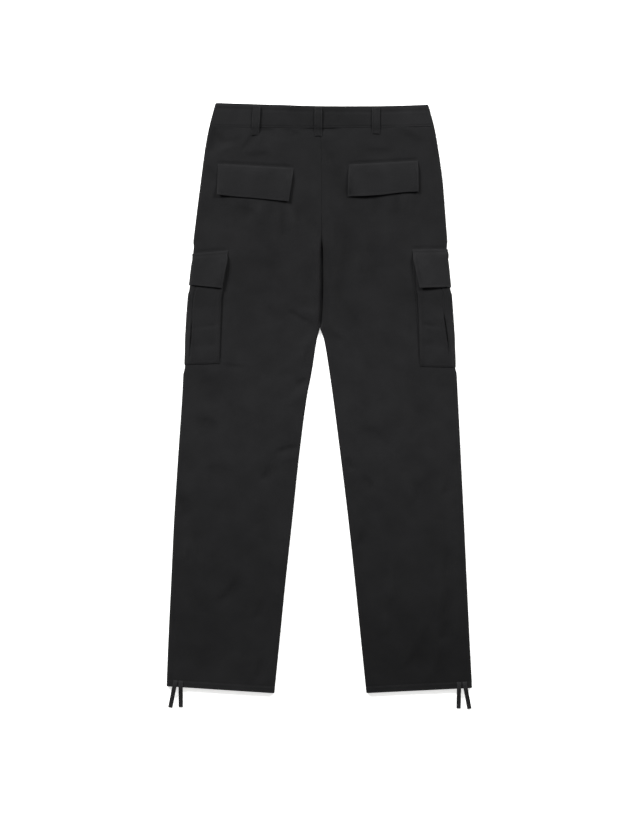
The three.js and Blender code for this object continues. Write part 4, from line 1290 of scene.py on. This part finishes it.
def makeCargoFlap(side):
    name = sideName(side)
    topWidth, lowWidth, topAtFold, _, lowAtFold, _ = outline["cargoFlaps"][side]
    half = cargo["flapCloth"] / 2
    width, long = (topWidth + lowWidth) / 2, topAtFold - lowAtFold
    ends = np.array([half, 1, 1.6, 2.4, 3.4, 4.4, 5.2, 5.8, 6.6, 7.6, 9])
    turn = cargo["quarterTurn"] * np.linspace(-1, 1, 9)
    around = np.concatenate([-width + ends, np.linspace(-width + 12, -6, 12), turn,
                             np.linspace(6, width - 12, 18), (width - ends)[::-1]])[None, :]
    down = spaced(half, long - half, 2.2, 9)[:, None]
    around, down = around + 0 * down, down + 0 * around
    wearAndHighlight = ramp(np.minimum.reduce([width - np.abs(around), long - down]), 2, half)
    surface = lambda p, q: flapPoint(side, p / width, q / long)
    thickness = cargo["flapCloth"] - 0.7 * ease(ramp(down, 9, 0))
    cloth(f"cargo_flap_{name}", surface, around, down, thickness, (2 * width, long),
          2 * width * long * 0.97, [f"cargo_pocket_{name}_cloth"], wearAndHighlight, tone=cargo[side]["tone"])
    low, edge = long - seatFlaps["stitchIn"], width - seatFlaps["stitchIn"]
    rows = [stitchRow(surface, [(-3, low), (edge, low), (edge, 7)])]
    rows += [stitchRow(surface, [(-3, t), (width - 1.5, t)]) for t in seatFlaps["topStitches"]]
    sewn(f"cargo_flap_{name}_stitches", rows)


for side in (-1, 1):
    makeCargoPocket(side)
    makeCargoFlap(side)
print("cargo pockets made")


# Hems: the stitching of the casing, the eyelets and the ends of the tape

ties = {
    "width": 7.6,
    "shownWidth": 8.0,
    "thickness": 1.2,
    "round": 0.45,
    "pastHem": [-12, -9.5, -6.5, -1, 4, 12, 22, 30],
    "aboveFloor": [5.8, 6.5, 7.0, 7.1, 6.4, 4.1, 1.9, 0.9],
    "ends": {  # side, where the tape leaves the casing, where it ends, how far past the hem
        "left_outer": (-1, -264.4, -274.4, 38.2),
        "left_inner": (-1, -255.0, -255.2, 37),
        "right_inner": (1, 257.2, 256.6, 37),
        "right_outer": (1, 267.0, 276.6, 38.2),
    },
    "eyelet": {"above": 7.6, "inner": (3.0, 1.0), "outer": (4.5, 2.5), "stitches": 24},
}


def tiePath(side, exitX, endX, reach):
    # From the eyelet over the hem's edge and down to the floor, level from there on.
    past = np.linspace(ties["pastHem"][0], reach, 36)
    level = ties["aboveFloor"][-1]
    height = smoothLine(past, [*ties["pastHem"], reach], [*ties["aboveFloor"], level])
    x = mix(exitX, endX, (past - past[0]) / (reach - past[0]))
    return np.stack([x, hemY(side, np.array(exitX)) - past, height], -1)


def tapeSection():
    # Once round the tape: a flat rectangle with small round corners.
    wide, high, r = ties["shownWidth"] / 2, ties["thickness"] / 2, ties["round"]
    angle = np.radians(np.array([0, 30, 60, 90])[None, :] + 90 * np.arange(4)[:, None])
    signs = np.array([(1, 1), (-1, 1), (-1, -1), (1, -1)])
    a = signs[:, :1] * (wide - r) + r * np.cos(angle)
    b = signs[:, 1:] * (high - r) + r * np.sin(angle)
    flat = np.array([1.2, -1.2])
    a = np.concatenate([a[0], flat, a[1], a[2], -flat, a[3]])
    b = np.concatenate([b[0], [high, high], b[1], b[2], [-high, -high], b[3]])
    return a, b


def makeTie(name, facts, seed):
    path = tiePath(*facts)
    forward = unit(np.gradient(path, axis=0))
    sideways = unit(np.cross(forward, (0, 0, 1)))
    up = np.cross(sideways, forward)
    along = np.append(0, np.linalg.norm(np.diff(path, axis=0), axis=1).cumsum())[:, None]
    a, b = tapeSection()
    a = a * (1 + 0.03 * wobble(along, 6, seed))
    tilt = 0.06 * wobble(along, 15, seed + 8) * ramp(along, 0, 20)
    points = path[:, None] + sideways[:, None] * a[..., None]
    points = points + up[:, None] * (b + a * tilt)[..., None]
    points[..., 2] = np.maximum(points[..., 2], 0.02)
    uv = np.stack([a, along + 0 * a], -1).reshape(-1, 2)
    tape = makePiece(f"hem_tie_{name}_tape", points.reshape(-1, 3), ringFaces(*a.shape), cottonTape,
                     uv, node=f"hem_tie_{name}")


def sewHem(side):
    # a is x and b the height above the hem's edge.
    def surface(a, b):
        y = hemY(side, a) + b
        return legPoint(side, 1, np.abs(halfAt(side, y)[1] - a), y)

    inner, outer = halfAt(side, np.array(-525.0))[:2]
    rows = [stitchRow(surface, [(outer - side * 3, 11.9), (inner + side * 3, 11.9)])]
    eyelet = ties["eyelet"]
    turn = np.linspace(0, 2 * math.pi, eyelet["stitches"] + 1)[:-1]
    for tieSide, exitX, _, _ in ties["ends"].values():
        if tieSide == side:
            near, far = [
                np.stack([exitX + rx * np.cos(turn), eyelet["above"] + ry * np.sin(turn)], -1)
                for rx, ry in (eyelet["inner"], eyelet["outer"])
            ]
            rows += [stitchRow(surface, pair, 1.5, 0.2) for pair in zip(near, far)]
    sewn(f"hem_{sideName(side)}_stitches", rows)


for seed, (name, facts) in enumerate(ties["ends"].items()):
    makeTie(name, facts, 71 + seed)
for side in (-1, 1):
    sewHem(side)
print("hems sewn")


# Button of the waistband, on the floor under the lapped front

button = {"x": 9.9, "y": 517.0}


def makeButton():
    # A profile from the centre of its lower face round to the centre of its upper one, turned.
    profile = np.array([
        (0.01, 0.5), (5.6, 0.5), (6.2, 0.42), (6.7, 0.12), (7.1, 0.0), (7.9, 0.03), (8.3, 0.3),
        (8.5, 0.8), (8.45, 1.4), (8.1, 1.85), (7.6, 2.0), (4, 2.0), (0.01, 2.0),
    ])
    turn = np.linspace(0, 2 * math.pi, 49)[:-1]
    x = button["x"] + profile[:, None, 0] * np.cos(turn)
    y = button["y"] + profile[:, None, 0] * np.sin(turn)
    points = np.stack([x, y, profile[:, None, 1] + 0 * x], -1)
    makePiece("waist_button_resin", points.reshape(-1, 3), ringFaces(*x.shape), hornResin,
              node="waist_button")


makeButton()
print("button made")
